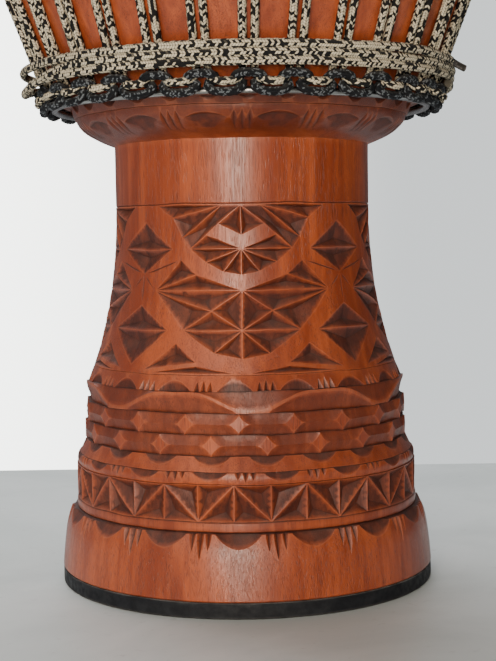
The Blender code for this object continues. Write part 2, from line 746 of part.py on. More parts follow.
def drumhead_skin():
    """The skin: flat over the rim, down the outside of the bowl, and rolled at its edge."""
    top = RIM_Z + FIT_GAP + SKIN_THICKNESS
    roll = RIM_Z - SKIN_DROP
    outer = bowl_radius(roll) + FIT_GAP + SKIN_THICKNESS
    inner = outer - SKIN_THICKNESS
    rim_outer = RIM_RADIUS + FIT_GAP + SKIN_THICKNESS
    profile = [(rim_outer - SKIN_CORNER, top), (rim_outer, top - SKIN_CORNER)]
    profile += [(outer, roll + SKIN_ROLL / 2 + 2 * FIT_GAP)]
    for degrees in (80, 0, -80):
        angle = math.radians(degrees)
        across = skin_roll_radius() + SKIN_ROLL / 2 * math.cos(angle)
        profile.append((across, roll + SKIN_ROLL / 2 * math.sin(angle)))
    profile += [
        (inner, roll - 2 * MM),
        (inner, RIM_Z - 30 * MM),
        (rim_outer - SKIN_THICKNESS, RIM_Z - RIM_ROUND + 0.4 * MM),
        (RIM_RADIUS - RIM_ROUND + 0.1 * MM, top - SKIN_THICKNESS),
    ]
    sides, count = PLAIN_SIDES, len(profile)
    points = [around(FULL_TURN * side / sides, radius, height)
              for side in range(sides) for radius, height in profile]
    top_middle = len(points)
    points += [(0.0, 0.0, top), (0.0, 0.0, top - SKIN_THICKNESS)]
    faces = []
    for side in range(sides):
        here, there = side * count, (side + 1) % sides * count
        faces += [[here + n, here + n + 1, there + n + 1, there + n] for n in range(count - 1)]
        faces.append([top_middle, here, there])
        faces.append([top_middle + 1, there + count - 1, here + count - 1])
    return add_object("drumhead_skin", points, faces, make_material("drum_skin"))


def base_rubber_ring():
    """The black ring that the foot stands on, flush with the wood."""
    inner = FOOT_BORE_RADIUS + RUBBER_INSET
    profile = [(inner, 0.0), (FOOT_RADIUS, 0.0), (FOOT_RADIUS, RUBBER_HEIGHT), (inner, RUBBER_HEIGHT)]
    return turned("base_rubber_ring", profile, PLAIN_SIDES, make_material("black_rubber"))


def main():
    """Builds every piece of the drum."""
    clear_scene()
    drum_shell()
    base_rubber_ring()
    rod_ring("bottom_ring", BOTTOM_RING_RADIUS, bottom_ring_height())
    bottom_cradle()
    lacing_rope()
    wrap_rope()
    rod_ring("crown_ring", crown_ring_radius(), crown_ring_height())
    drumhead_skin()


main()
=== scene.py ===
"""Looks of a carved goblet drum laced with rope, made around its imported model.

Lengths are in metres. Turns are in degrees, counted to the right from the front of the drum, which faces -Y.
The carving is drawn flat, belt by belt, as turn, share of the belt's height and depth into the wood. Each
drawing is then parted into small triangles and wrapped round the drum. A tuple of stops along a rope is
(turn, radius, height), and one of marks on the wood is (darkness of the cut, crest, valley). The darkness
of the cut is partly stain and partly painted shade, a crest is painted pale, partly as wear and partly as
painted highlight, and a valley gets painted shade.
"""

import logging
import math
from dataclasses import dataclass, field
from enum import Enum
from typing import Callable, Sequence

import bpy
import numpy as np
from mathutils import Euler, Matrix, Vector, noise
from mathutils.geometry import delaunay_2d_cdt
from mathutils.kdtree import KDTree


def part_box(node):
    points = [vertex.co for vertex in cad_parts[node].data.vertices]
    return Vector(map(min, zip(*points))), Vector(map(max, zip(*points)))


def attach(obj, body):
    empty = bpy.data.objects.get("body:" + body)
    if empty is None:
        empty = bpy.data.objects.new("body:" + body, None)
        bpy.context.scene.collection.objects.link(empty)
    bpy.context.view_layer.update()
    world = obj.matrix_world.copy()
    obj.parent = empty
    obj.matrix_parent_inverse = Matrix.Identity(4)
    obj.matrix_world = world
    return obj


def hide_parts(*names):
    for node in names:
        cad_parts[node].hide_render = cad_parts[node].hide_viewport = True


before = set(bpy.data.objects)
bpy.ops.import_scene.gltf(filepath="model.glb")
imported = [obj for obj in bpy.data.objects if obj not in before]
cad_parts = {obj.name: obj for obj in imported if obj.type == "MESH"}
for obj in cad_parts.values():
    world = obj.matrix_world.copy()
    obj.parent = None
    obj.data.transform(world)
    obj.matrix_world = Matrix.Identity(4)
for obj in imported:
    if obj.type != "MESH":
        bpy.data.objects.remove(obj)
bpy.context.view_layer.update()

LOG = logging.getLogger("drum")
MM = 0.001
FULL_TURN = 360.0
BODY = "root"
CLOSE = 1e-7
SHALLOW = 0.4 * MM
WANDER_APART = (Vector((9.3, -1.5, -7.9)), Vector((-3.7, 5.1, 12.4)), Vector((6.2, -14.8, 2.6)))
Stop = tuple[float, float, float]
Colour = tuple[float, float, float]
Marked = tuple[float, float, float, float, float]
Placed = tuple[float, int]
PLAIN: Stop = (0.0, 0.0, 0.0)
# Marks of the groove under a belt: full darkness and a valley, as painted shade in the groove.
GROOVE_PAINTED_SHADE: Stop = (1.0, 0.0, 1.0)
TURN_STEPS = 1000
HEIGHT_STEPS = 1e6


def blend(start: float, end: float, share: float) -> float:
    """The value a share of the way from start to end."""
    return start + (end - start) * share


def ease(share: float) -> float:
    """A share that starts and ends gently, held between 0 and 1."""
    held = min(1.0, max(0.0, share))
    return held * held * (3 - 2 * held)


def around(turn: float, radius: float, height: float) -> Vector:
    """The point at a turn from the front, a radius and a height."""
    angle = math.radians(turn)
    return Vector((radius * math.sin(angle), -radius * math.cos(angle), height))


def wander(place: Vector) -> Vector:
    """Smooth noise along each of the three axes, from -1 to 1, which is the same in each run."""
    return Vector([noise.noise(place + apart) for apart in WANDER_APART])


class Stroke(Enum):
    """What a line of the carving is."""

    FOLD = 0
    CREST = 1
    VALLEY = 2


@dataclass(frozen=True)
class Belt:
    """A belt of the wood: its heights, its radii at foot and top, and the repeats of its carving.

    The radius follows a power of the share of height that is left, and swells at the middle of the belt.
    """

    low: float
    high: float
    low_radius: float
    high_radius: float
    repeats: int = 1
    turn: float = 0.0
    bend: float = 1.0
    swell: float = 0.0

    def radius(self, height: float) -> float:
        """The uncut radius of the wood at a height.

        Args:
            height: The height over the floor.

        Returns:
            The radius.
        """
        share = min(1.0, max(0.0, (height - self.low) / (self.high - self.low)))
        plain = blend(self.high_radius, self.low_radius, (1 - share) ** self.bend)
        return plain + self.swell * (1 - (2 * share - 1) ** 2)


class Drawing:
    """One repeat of a belt of carving, drawn flat about its own middle."""

    def __init__(self, belt: Belt, lower: Stroke = Stroke.CREST) -> None:
        """Starts the drawing with the four edges of one repeat.

        Args:
            belt: The belt that the repeat belongs to.
            lower: What its lower edge is.
        """
        self.belt = belt
        self.half = FULL_TURN / belt.repeats / 2
        self.tall = belt.high - belt.low
        self.stretch = math.radians(1) * (belt.low_radius + belt.high_radius) / 2
        self.spots: dict[tuple[float, float], tuple[int, float]] = {}
        self.edges: list[tuple[int, int]] = []
        self.kinds: list[Stroke] = []
        for kind, level in ((lower, 0.0), (Stroke.CREST, 1.0)):
            self.stroke(kind, (-self.half, level), (self.half, level))
        for side in (-self.half, self.half):
            self.stroke(Stroke.FOLD, (side, 0.0), (side, 1.0))

    def turn_of(self, width: float) -> float:
        """The turn that a width takes up on this belt."""
        return width / self.stretch

    def spot(self, turn: float, share: float, depth: float = 0.0) -> int:
        """The number of the point at a turn and a share of the height; the deepest cut counts.

        Args:
            turn: Degrees from the middle of the repeat.
            share: Share of the belt's height.
            depth: Depth of the cut there.

        Returns:
            The number of the point.
        """
        key = (round(turn, 5), round(share, 6))
        number, cut = self.spots.get(key, (len(self.spots), 0.0))
        self.spots[key] = (number, max(cut, depth))
        return number

    def stroke(self, kind: Stroke, *stops: tuple[float, ...]) -> None:
        """Draws a line through stops of (turn, share, depth), where a missing depth is none.

        Args:
            kind: What the line is.
            stops: The stops in order.
        """
        numbers = [self.spot(*stop) for stop in stops]
        for start, end in zip(numbers, numbers[1:]):
            if start != end:
                self.edges.append((start, end))
                self.kinds.append(kind)

    def pit(self, corners: Sequence[tuple[float, float]], depth: float, pull: int, land: float) -> None:
        """Cuts a pit with slightly hollow facets inside corners, all but a strip of land along them.

        Args:
            corners: The corners as (turn, share), in order round the pit.
            depth: Greatest depth; a narrow pit is shallower.
            pull: Number of the corner that the deepest point is drawn towards.
            land: Width of the land left along each side.
        """
        flat = [Vector((turn * self.stretch, share * self.tall)) for turn, share in corners]
        area = sum(a.x * b.y - b.x * a.y for a, b in zip(flat, flat[1:] + flat[:1])) / 2
        around_it = sum((a - b).length for a, b in zip(flat, flat[1:] + flat[:1]))
        inner = inset(flat, land if area > 0 else -land)
        drawn, steepness, hollow = 2.1, 1.05, 0.6
        weights = [drawn if number == pull else 1.0 for number in range(len(inner))]
        deepest = sum((w * corner for w, corner in zip(weights, inner)), Vector((0.0, 0.0))) / sum(weights)
        cut = min(depth, steepness * 2 * abs(area) / around_it)
        rim = [(corner.x / self.stretch, corner.y / self.tall, 0.0) for corner in inner]
        bottom = (deepest.x / self.stretch, deepest.y / self.tall, cut)
        waist = [tuple(blend(a, b, 0.5) for a, b in zip(corner, bottom)) for corner in rim]
        waist = [(turn, share, hollow * cut) for turn, share, _ in waist]
        self.stroke(Stroke.CREST, *rim, rim[0])
        self.stroke(Stroke.FOLD, *waist, waist[0])
        for corner, middle in zip(rim, waist):
            self.stroke(Stroke.VALLEY, corner, middle, bottom)

    def scoop(self, middle: float, half_turn: float, base: float, rise: float, depth: float) -> None:
        """Cuts a hollow scoop that is deepest along its straight base and runs out at an arc.

        Args:
            middle: Turn of its middle.
            half_turn: Half of its turn.
            base: Share of height of the straight side.
            rise: Share of height from the base to the top of the arc, negative for downwards.
            depth: Greatest depth.
        """
        steps, layers = 14, 3
        for layer in range(layers + 1):
            inward = layer / layers
            stops = []
            for step in range(steps + 1):
                across = 2 * step / steps - 1
                swell = 1 - across * across
                share = base + rise * swell * (1 - inward)
                stops.append((middle + across * half_turn, share, depth * math.sqrt(swell) * inward ** 0.7))
            kind = (Stroke.CREST, Stroke.FOLD, Stroke.FOLD, Stroke.VALLEY)[layer]
            self.stroke(kind, *stops)

    def leaf(self, middle: float, half_turn: float, base: float, rise: float, depth: float) -> None:
        """Cuts a pointed, leaf-shaped notch that is deepest where it meets its base.

        Args:
            middle: Turn of its middle.
            half_turn: Half of its turn at the base.
            base: Share of height of the base.
            rise: Share of height from the base to the tip, negative for downwards.
            depth: Greatest depth.
        """
        shares = (0.0, 0.3, 0.6, 0.85, 1.0)
        for side in (-1, 1):
            self.stroke(Stroke.CREST, *[
                (middle + side * half_turn * (1 - t ** 1.6), base + rise * t) for t in shares
            ])
        self.stroke(Stroke.VALLEY, *[(middle, base + rise * t, depth * (1 - t) ** 0.7) for t in shares])

    def groove(self, width: float, *stops: Stop) -> None:
        """Cuts a narrow groove along stops of (turn, share, depth).

        Args:
            width: Its width.
            stops: The stops in order.
        """
        self.stroke(Stroke.VALLEY, *stops)
        (turn, share, _), (end_turn, end_share, _) = stops[0], stops[-1]
        along = Vector(((end_turn - turn) * self.stretch, (end_share - share) * self.tall)).normalized()
        for side in (-0.5, 0.5):
            aside, up = -side * width * along.y / self.stretch, side * width * along.x / self.tall
            flank = [(stop[0] + aside, stop[1] + up) for stop in stops[1:-1]]
            if all(abs(stop[0]) <= self.half for stop in flank):
                self.stroke(Stroke.FOLD, (turn, share), *flank, (end_turn, end_share))

    def refined(self, longest: float) -> tuple[list[Marked], list[list[int]]]:
        """Parts the drawing into triangles with no side longer than a length.

        Args:
            longest: The greatest length of a side.

        Returns:
            The points as (turn, height, depth, crest, valley), and the triangles.
        """
        ordered = sorted((number, turn, share, cut) for (turn, share), (number, cut) in self.spots.items())
        flat = [Vector((turn * self.stretch, share * self.tall)) for _, turn, share, _ in ordered]
        made = delaunay_2d_cdt(flat, self.edges, [], 0, CLOSE)
        cuts = [max((ordered[number][3] for number in origins), default=0.0) for origins in made[3]]
        places = [Vector((place.x, place.y, cut)) for place, cut in zip(made[0], cuts)]
        facets = [[places[corner] for corner in facet] for facet in made[2]]
        lines: list[tuple[int, int]] = []
        kinds: list[int] = []
        for (start, end), origins in zip(made[1], made[4]):
            found = [self.kinds[number].value for number in origins if number < len(self.kinds)]
            if found:
                parts = math.ceil((places[end] - places[start]).length / longest)
                chain = [start, *range(len(places), len(places) + parts - 1), end]
                places.extend(places[start].lerp(places[end], part / parts) for part in range(1, parts))
                lines.extend(zip(chain, chain[1:]))
                kinds.extend([max(found)] * parts)
        places.extend(self.between(places, facets, longest))
        fine = delaunay_2d_cdt([place.to_2d() for place in places], lines, [], 0, CLOSE)
        touching: list[set[int]] = [set() for _ in fine[0]]
        for side, origins in zip(fine[1], fine[4]):
            for corner in side:
                touching[corner].update(kinds[number] for number in origins if number < len(kinds))
        points = []
        for spot, origins, strokes in zip(fine[0], fine[3], touching):
            depth = max((places[number].z for number in origins), default=0.0)
            # Crest points are painted pale, partly as wear and partly as painted highlight; valley points get
            # painted shade.
            crest = 1.0 if Stroke.CREST.value in strokes and depth < SHALLOW else 0.0
            valley = 1.0 if Stroke.VALLEY.value in strokes and depth > SHALLOW else 0.0
            points.append((spot.x / self.stretch, self.belt.low + spot.y, depth, crest, valley))
        triangles = []
        for triangle in fine[2]:
            levels = [fine[0][corner].y for corner in triangle]
            if max(levels) > CLOSE and min(levels) < self.tall - CLOSE:
                triangles.append(list(triangle))
        return points, triangles

    def between(self, lines: Sequence[Vector], facets: Sequence[Sequence[Vector]],
                longest: float) -> list[Vector]:
        """Points spread evenly between the lines, on the facets that the lines bound.

        Args:
            lines: The points along the lines.
            facets: The facets, each with its three corners.
            longest: How far apart the points are.

        Returns:
            The points.
        """
        near = KDTree(len(lines))
        for number, place in enumerate(lines):
            near.insert((place.x, place.y, 0.0), number)
        near.balance()
        reach = self.half * self.stretch
        columns, rows = int(2 * reach / longest), int(self.tall / longest)
        spread = []
        clear = 0.6
        for row in range(1, rows):
            for column in range(columns):
                aside = column + 0.5 + 0.5 * (row % 2)
                place = Vector((-reach + aside * longest, row * self.tall / rows, 0.0))
                if abs(place.x) < reach and near.find(place)[2] > clear * longest:
                    spread.append(place)
        if not spread:
            return spread
        flat = np.array([place.to_2d() for place in spread])
        for a, b, c in facets:
            area = (b.x - a.x) * (c.y - a.y) - (c.x - a.x) * (b.y - a.y)
            if abs(area) > CLOSE * CLOSE:
                from_a = flat - np.array(a.to_2d())
                share_b = (from_a[:, 0] * (c.y - a.y) - from_a[:, 1] * (c.x - a.x)) / area
                share_c = (from_a[:, 1] * (b.x - a.x) - from_a[:, 0] * (b.y - a.y)) / area
                for number in np.flatnonzero((share_b >= 0) & (share_c >= 0) & (share_b + share_c <= 1)):
                    spread[number].z = a.z + share_b[number] * (b.z - a.z) + share_c[number] * (c.z - a.z)
        return spread


def inset(corners: Sequence[Vector], distance: float) -> list[Vector]:
    """Moves each side of a polygon inwards.

    Args:
        corners: The corners, anticlockwise.
        distance: How far each side moves; negative for corners that run clockwise.

    Returns:
        The corners of the smaller polygon.
    """
    moved = []
    sharpest = 0.05
    for number, corner in enumerate(corners):
        before = (corner - corners[number - 1]).normalized()
        after = (corners[(number + 1) % len(corners)] - corner).normalized()
        normal_before = Vector((-before.y, before.x))
        normal_after = Vector((-after.y, after.x))
        middle = normal_before + normal_after
        straightness = max(sharpest, 1 + normal_before.dot(normal_after))
        moved.append(corner + middle * distance / straightness)
    return moved


class WrappedWood:
    """The surface of the turned wood, gathered from the floor up into one closed skin."""

    def __init__(self) -> None:
        """Starts with no points."""
        self.points: list[Stop] = []
        self.marks: list[Stop] = []
        self.faces: list[list[int]] = []
        self.places: dict[tuple[int, int, int], int] = {}
        self.first: list[Placed] = []
        self.last: list[Placed] = []

    def add(self, turn: float, radius: float, height: float, marks: Stop = PLAIN) -> Placed:
        """Adds a point, or finds it if it is there already.

        Args:
            turn: Degrees from the front.
            radius: Distance from the axis.
            height: Height over the floor.
            marks: How dark it is painted, partly as oil stain in the cuts and partly as painted shade, and
                whether it is on a crest or in a valley.

        Returns:
            The turn, from 0 to 360, and the number of the point.
        """
        turn %= FULL_TURN
        step = round(turn * TURN_STEPS) % round(FULL_TURN * TURN_STEPS)
        key = (step, round(height * HEIGHT_STEPS), round(radius * HEIGHT_STEPS))
        if key not in self.places:
            self.places[key] = len(self.points)
            self.points.append((turn, radius, height))
            self.marks.append(marks)
        return turn, self.places[key]

    def ring(self, radius: float, height: float, sides: int, marks: Stop = PLAIN) -> None:
        """Adds a round ring and joins it to the one before.

        Args:
            radius: Its radius.
            height: Its height over the floor.
            sides: How many points it has.
            marks: The marks of its points.
        """
        turns = [FULL_TURN * side / sides for side in range(sides)]
        self.join(sorted(self.add(turn, radius, height, marks) for turn in turns))

    def belt(self, drawing: Drawing, longest: float, tone: float) -> None:
        """Wraps a drawing round the wood, all its repeats, and joins it to what is below.

        Args:
            drawing: One repeat of the belt.
            longest: The greatest length of a triangle's side.
            tone: How dark its cuts are.
        """
        belt = drawing.belt
        points, triangles = drawing.refined(longest)
        lower: dict[int, float] = {}
        upper: dict[int, float] = {}
        belt_faces = []
        for repeat in range(belt.repeats):
            centre = belt.turn + FULL_TURN * repeat / belt.repeats
            numbers = []
            for turn, height, depth, crest, valley in points:
                # The cut's darkness grows with its depth: partly stain, partly painted shade.
                marks = (tone * ease(depth / SHALLOW), crest, valley)
                place, number = self.add(centre + turn, belt.radius(height) - depth, height, marks)
                numbers.append(number)
                if abs(height - belt.low) < CLOSE:
                    lower[number] = place
                if abs(height - belt.high) < CLOSE:
                    upper[number] = place
            belt_faces.extend([numbers[corner] for corner in triangle] for triangle in triangles)
        self.join(sorted((place, number) for number, place in lower.items()))
        self.faces.extend(belt_faces)
        self.last = sorted((place, number) for number, place in upper.items())

    def join(self, ring: list[Placed]) -> None:
        """Closes the gap between the last ring and a new one, whatever their numbers of points.

        Args:
            ring: The new ring as (turn, number), in order of turn.
        """
        if self.last:
            self.stitch(self.last, ring)
        else:
            self.first = ring
        self.last = ring

    def stitch(self, lower: list[Placed], upper: list[Placed]) -> None:
        """Fills the belt between two rings with triangles.

        Args:
            lower: The lower ring as (turn, number).
            upper: The upper ring as (turn, number).
        """
        half_turn = FULL_TURN / 2
        start = min(range(len(upper)),
                    key=lambda n: abs((upper[n][0] - lower[0][0] + half_turn) % FULL_TURN - half_turn))
        apart = upper[start][0] - lower[0][0]
        shift = -FULL_TURN if apart > half_turn else (FULL_TURN if apart < -half_turn else 0.0)
        below = [*lower, (lower[0][0] + FULL_TURN, lower[0][1])]
        above = []
        for n in range(len(upper) + 1):
            turn, number = upper[(start + n) % len(upper)]
            above.append((turn + shift + FULL_TURN * ((start + n) // len(upper)), number))
        low, high = 0, 0
        while low < len(lower) or high < len(upper):
            take_low = high == len(upper) or (
                low < len(lower) and below[low + 1][0] - above[high][0] <= above[high + 1][0] - below[low][0]
            )
            if take_low:
                self.faces.append([below[low][1], below[low + 1][1], above[high][1]])
                low += 1
            else:
                self.faces.append([below[low][1], above[high + 1][1], above[high][1]])
                high += 1

    def made(self, name: str, hand: Callable[[float, float, float], Stop]) -> bpy.types.Object:
        """Closes the skin and makes the object, with its marks as attributes.

        Args:
            name: The object's name.
            hand: Where the carver's hand puts a point that was meant for (turn, radius, height).

        Returns:
            The object.
        """
        self.stitch(self.last, self.first)
        places = [around(*hand(*point)) for point in self.points]
        made = new_object(name, places, self.faces, sharp=24.0)
        for column, title in enumerate(("cut", "crest", "valley")):
            layer = made.data.attributes.new(title, "FLOAT", "POINT")
            layer.data.foreach_set("value", np.array([marks[column] for marks in self.marks], np.float32))
        return made


def new_object(name: str, places: Sequence, faces: Sequence, sharp: float) -> bpy.types.Object:
    """Makes a mesh object that is smooth but for its sharp edges.

    Args:
        name: The object's name.
        places: The points.
        faces: The faces.
        sharp: The angle in degrees past which an edge is sharp.

    Returns:
        The object, linked into the scene.
    """
    mesh = bpy.data.meshes.new(name)
    mesh.from_pydata(places, [], faces)
    mesh.validate()
    mesh.shade_smooth()
    mesh.set_sharp_from_angle(angle=math.radians(sharp))
    made = bpy.data.objects.new(name, mesh)
    bpy.context.scene.collection.objects.link(made)
    return made


def dress(piece: bpy.types.Object, material: bpy.types.Material, slot: str, *nodes: str) -> None:
    """Gives a piece its material, hangs it on the drum's body and hides the CAD parts that it stands for.

    Args:
        piece: The piece.
        material: Its material.
        slot: The record's material slot; not used.
        nodes: The CAD nodes that it replaces.
    """
    piece.data.materials.clear()
    piece.data.materials.append(material)
    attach(piece, BODY)
    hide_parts(*nodes)


@dataclass
class CarvedShell:
    """The one piece of wood: foot, carved stem, neck, collar and hollow bowl."""

    foot_radius: float = 117.5 * MM
    foot_inside: float = 98.0 * MM
    foot_low: float = 9.6 * MM
    foot_plain: float = 22.0 * MM
    shoulder_radius: float = 111.4 * MM
    neck_radius: float = 79.8 * MM
    collar_radius: float = 103.4 * MM
    bowl_low: float = 297.3 * MM
    bowl_low_radius: float = 112.3 * MM
    bowl_radius: float = 167.0 * MM
    rim_radius: float = 165.5 * MM
    bowl_height: float = 313.0 * MM
    widest_share: float = 0.64
    rim_rounding: float = 5.0 * MM
    narrow_bore: float = 60.5 * MM
    groove: float = 0.3 * MM
    groove_depth: float = 0.9 * MM
    groove_width: float = 1.3 * MM
    land: float = 0.14 * MM
    grain: float = 1.75 * MM
    shallow_tone: float = 0.5
    smooth_sides: int = 144
    bore_sides: int = 48
    top: float = field(default=0.0, init=False)
    under_radius: float = field(default=0.0, init=False)
    wood: WrappedWood = field(default_factory=WrappedWood, init=False)

    def next_belt(self, height: float, low_radius: float, high_radius: float, repeats: int = 1,
                  turn: float = 0.0, bend: float = 1.0, swell: float = 0.0) -> Belt:
        """The belt that stands on what is carved so far.

        Args:
            height: Its height.
            low_radius: Its radius at the foot.
            high_radius: Its radius at the top.
            repeats: How often its carving repeats.
            turn: Turn of the middle of one repeat.
            bend: The power that its profile follows.
            swell: How far its middle stands out.

        Returns:
            The belt.
        """
        low = self.top + self.groove
        self.top = low + height
        return Belt(low, self.top, low_radius, high_radius, repeats, turn, bend, swell)

    def carve(self, drawing: Drawing, grooved: bool = True, tone: float = 0.9) -> None:
        """Adds a belt of carving over a narrow groove.

        Args:
            drawing: One repeat of the belt.
            grooved: Whether a groove parts it from what is below.
            tone: How dark its cuts are.
        """
        if grooved:
            radius = min(drawing.belt.low_radius, self.under_radius) - self.groove_depth
            height = drawing.belt.low - self.groove / 2
            # The groove ring is darkened as painted shade.
            self.wood.ring(radius, height, self.smooth_sides, GROOVE_PAINTED_SHADE)
        self.wood.belt(drawing, self.grain, tone)
        self.under_radius = drawing.belt.high_radius

    def foot(self) -> None:
        """The rounded foot with scallops and triple notches hanging from its shoulder."""
        belly, edge = 115.3 * MM, 0.8 * MM
        self.wood.ring(self.foot_inside, self.foot_low, self.bore_sides)
        self.wood.ring(self.foot_radius - edge, self.foot_low, self.smooth_sides)
        # The foot's edge carries a crest mark: painted pale, partly as wear and partly as painted highlight.
        self.wood.ring(self.foot_radius, self.foot_low + edge, self.smooth_sides, (0.0, 0.6, 0.0))
        for share in (0.25, 0.5, 0.75):
            radius = blend(self.foot_radius, belly, share ** 1.3)
            self.wood.ring(radius, self.foot_low + share * self.foot_plain, self.smooth_sides)
        self.top = self.foot_low + self.foot_plain - self.groove
        belt = self.next_belt(15.5 * MM, belly, self.shoulder_radius, repeats=16, turn=1.6, swell=0.5 * MM)
        drawing = Drawing(belt, Stroke.FOLD)
        scallop, notches = -3.9, 7.35
        drawing.scoop(scallop, drawing.turn_of(13.7 * MM), base=1.0, rise=-0.5, depth=3.0 * MM)
        drawing.leaf(notches, drawing.turn_of(2.2 * MM), base=1.0, rise=-0.95, depth=2.6 * MM)
        for side in (-1, 1):
            aside = notches + side * drawing.turn_of(4.75 * MM)
            drawing.leaf(aside, drawing.turn_of(2.0 * MM), base=1.0, rise=-0.6, depth=2.0 * MM)
        self.carve(drawing, grooved=False)

    def strip(self) -> None:
        """The plain strip between the foot and the row of cells."""
        belt = self.next_belt(5.8 * MM, 108.0 * MM, 108.0 * MM)
        # Painted shade: the ledge ring and the strip's sunken lower and upper edges are darkened and marked
        # as valleys.
        self.wood.ring(belt.low_radius + 1.2 * MM, belt.low - 0.1 * MM, self.smooth_sides, GROOVE_PAINTED_SHADE)
        dark = 0.5
        for share, inward in ((0.0, 0.9), (0.12, 0.2), (0.5, 0.0), (0.88, 0.2), (1.0, 0.8)):
            height = blend(belt.low, belt.high, share)
            marks = (inward, 0.0, 1.0 if inward > dark else 0.0)
            self.wood.ring(belt.low_radius - inward * MM, height, self.smooth_sides, marks)
        self.under_radius = belt.high_radius

    def cells(self) -> None:
        """Upright cells, each parted by a diagonal into two three-sided pits."""
        drawing = Drawing(self.next_belt(21.0 * MM, 107.5 * MM, 107.5 * MM, repeats=16, turn=-3.6))
        for side in (-1, 1):
            edge = side * drawing.half
            for corners in (((0.0, 0.0), (0.0, 1.0), (edge, 0.0)), ((edge, 1.0), (0.0, 1.0), (edge, 0.0))):
                drawing.pit(corners, depth=4.0 * MM, pull=0, land=self.land)
        self.carve(drawing)

    def rounded_ring(self) -> None:
        """The rounded ring with small scallops and triple notches."""
        belt = self.next_belt(6.6 * MM, 106.6 * MM, 106.2 * MM, repeats=16, turn=15.2, swell=0.7 * MM)
        drawing = Drawing(belt)
        scallop, notches = -4.0, 7.25
        drawing.scoop(scallop, drawing.turn_of(10.5 * MM), base=1.0, rise=-0.74, depth=1.7 * MM)
        for side, tall in ((-1, -0.6), (0, -0.82), (1, -0.6)):
            aside = notches + side * drawing.turn_of(4.4 * MM)
            drawing.leaf(aside, drawing.turn_of(1.8 * MM), base=1.0, rise=tall, depth=1.5 * MM)
        self.carve(drawing)

    def valley_slope(self) -> None:
        """Scallops on the slope that falls into the valley under the beads."""
        drawing = Drawing(self.next_belt(8.3 * MM, 105.2 * MM, 101.4 * MM, repeats=20, turn=7.0))
        drawing.scoop(0.0, drawing.turn_of(11.0 * MM), base=1.0, rise=-0.62, depth=1.7 * MM)
        self.carve(drawing)

    def beads(self, turn: float, radius: float) -> None:
        """A row of flat four-pointed lands with an upper and a lower scoop between them.

        Args:
            turn: Turn of one land.
            radius: The row's radius.
        """
        drawing = Drawing(self.next_belt(11.8 * MM, radius, radius, repeats=20, turn=turn))
        wide, tall, bow = drawing.turn_of(5.8 * MM), 0.47, 2.6
        ridge, cut = 0.9 * MM, 2.7 * MM
        angles = [math.radians(degrees) for degrees in range(0, 91, 15)]
        corner = [(math.cos(angle) ** bow, math.sin(angle) ** bow) for angle in angles]
        lip = [(0.0, 0.3 * MM), (0.35, 1.3 * MM), (0.8, 2.1 * MM), (1.4, 2.6 * MM)]
        for side in (-1, 1):
            edge = side * drawing.half
            near = side * (wide + drawing.turn_of(2.2 * MM))
            drawing.stroke(Stroke.CREST, (side * wide, 0.5), (near, 0.5, 0.7 * ridge), (edge, 0.5, ridge))
            for up in (-1, 1):
                level, border = 0.5 + up * 0.25, 0.5 + up * 0.5
                drawing.stroke(Stroke.CREST, *[(side * wide * x, 0.5 + up * tall * y) for x, y in corner])
                stops = [(side * wide * x, border, depth) for x, depth in lip]
                drawing.stroke(Stroke.VALLEY, *stops, (edge, border, cut))
                drawing.stroke(Stroke.FOLD, (near, level, blend(ridge, cut, 0.6)),
                               (edge, level, blend(ridge, cut, 0.62)))
        self.carve(drawing, tone=self.shallow_tone)

    def wave(self) -> None:
        """A thin wavy crest, with scoops that hang above it and scoops that stand below it."""
        drawing = Drawing(self.next_belt(12.2 * MM, 100.6 * MM, 100.6 * MM, repeats=7, turn=2.5))
        cut, thick, steps, layers = 2.9 * MM, 0.1, 16, 4
        shoulder, trough, lead, hollow = 19.5, 4.0, 3, 0.75
        kinds = (Stroke.CREST, Stroke.FOLD, Stroke.FOLD, Stroke.FOLD, Stroke.VALLEY)

        def crest(turn: float) -> float:
            """The share of height of the crest's upper edge."""
            climbed = (abs(turn) - trough + lead) / (shoulder - trough + lead)
            return blend(thick + 0.02, 1.0, ease(climbed))

        for layer, kind in enumerate(kinds):
            inward = layer / layers
            upper = []
            for step in range(-steps, steps + 1):
                turn = shoulder * step / steps
                depth = cut * math.sqrt(1 - (turn / shoulder) ** 2) * inward ** hollow
                upper.append((turn, blend(crest(turn), 1.0, inward), depth))
            drawing.stroke(kind, *upper)
            for side in (-1, 1):
                lower = []
                for step in range(steps + 1):
                    turn = blend(trough + 1.2, drawing.half, step / steps)
                    rise = max(0.0, crest(turn) - thick - 0.06 * (1 - step / steps))
                    depth = cut * math.sqrt(ease(step / 8)) * inward ** hollow
                    lower.append((side * turn, rise * (1 - inward) if step else 0.0, depth))
                drawing.stroke(kind, *lower)
        self.carve(drawing, tone=self.shallow_tone)

    def arches(self) -> None:
        """Half moons on the lower line, with three leaf-shaped notches between them."""
        drawing = Drawing(self.next_belt(8.8 * MM, 99.2 * MM, 95.4 * MM, repeats=17, turn=0.7))
        moon, notches = -3.9, 6.69
        drawing.scoop(moon, drawing.turn_of(10.2 * MM), base=0.0, rise=0.7, depth=1.9 * MM)
        for side, tall in ((-1, 0.62), (0, 0.72), (1, 0.62)):
            aside = notches + side * drawing.turn_of(3.95 * MM)
            drawing.leaf(aside, drawing.turn_of(1.75 * MM), base=0.0, rise=tall, depth=1.7 * MM)
        self.carve(drawing)

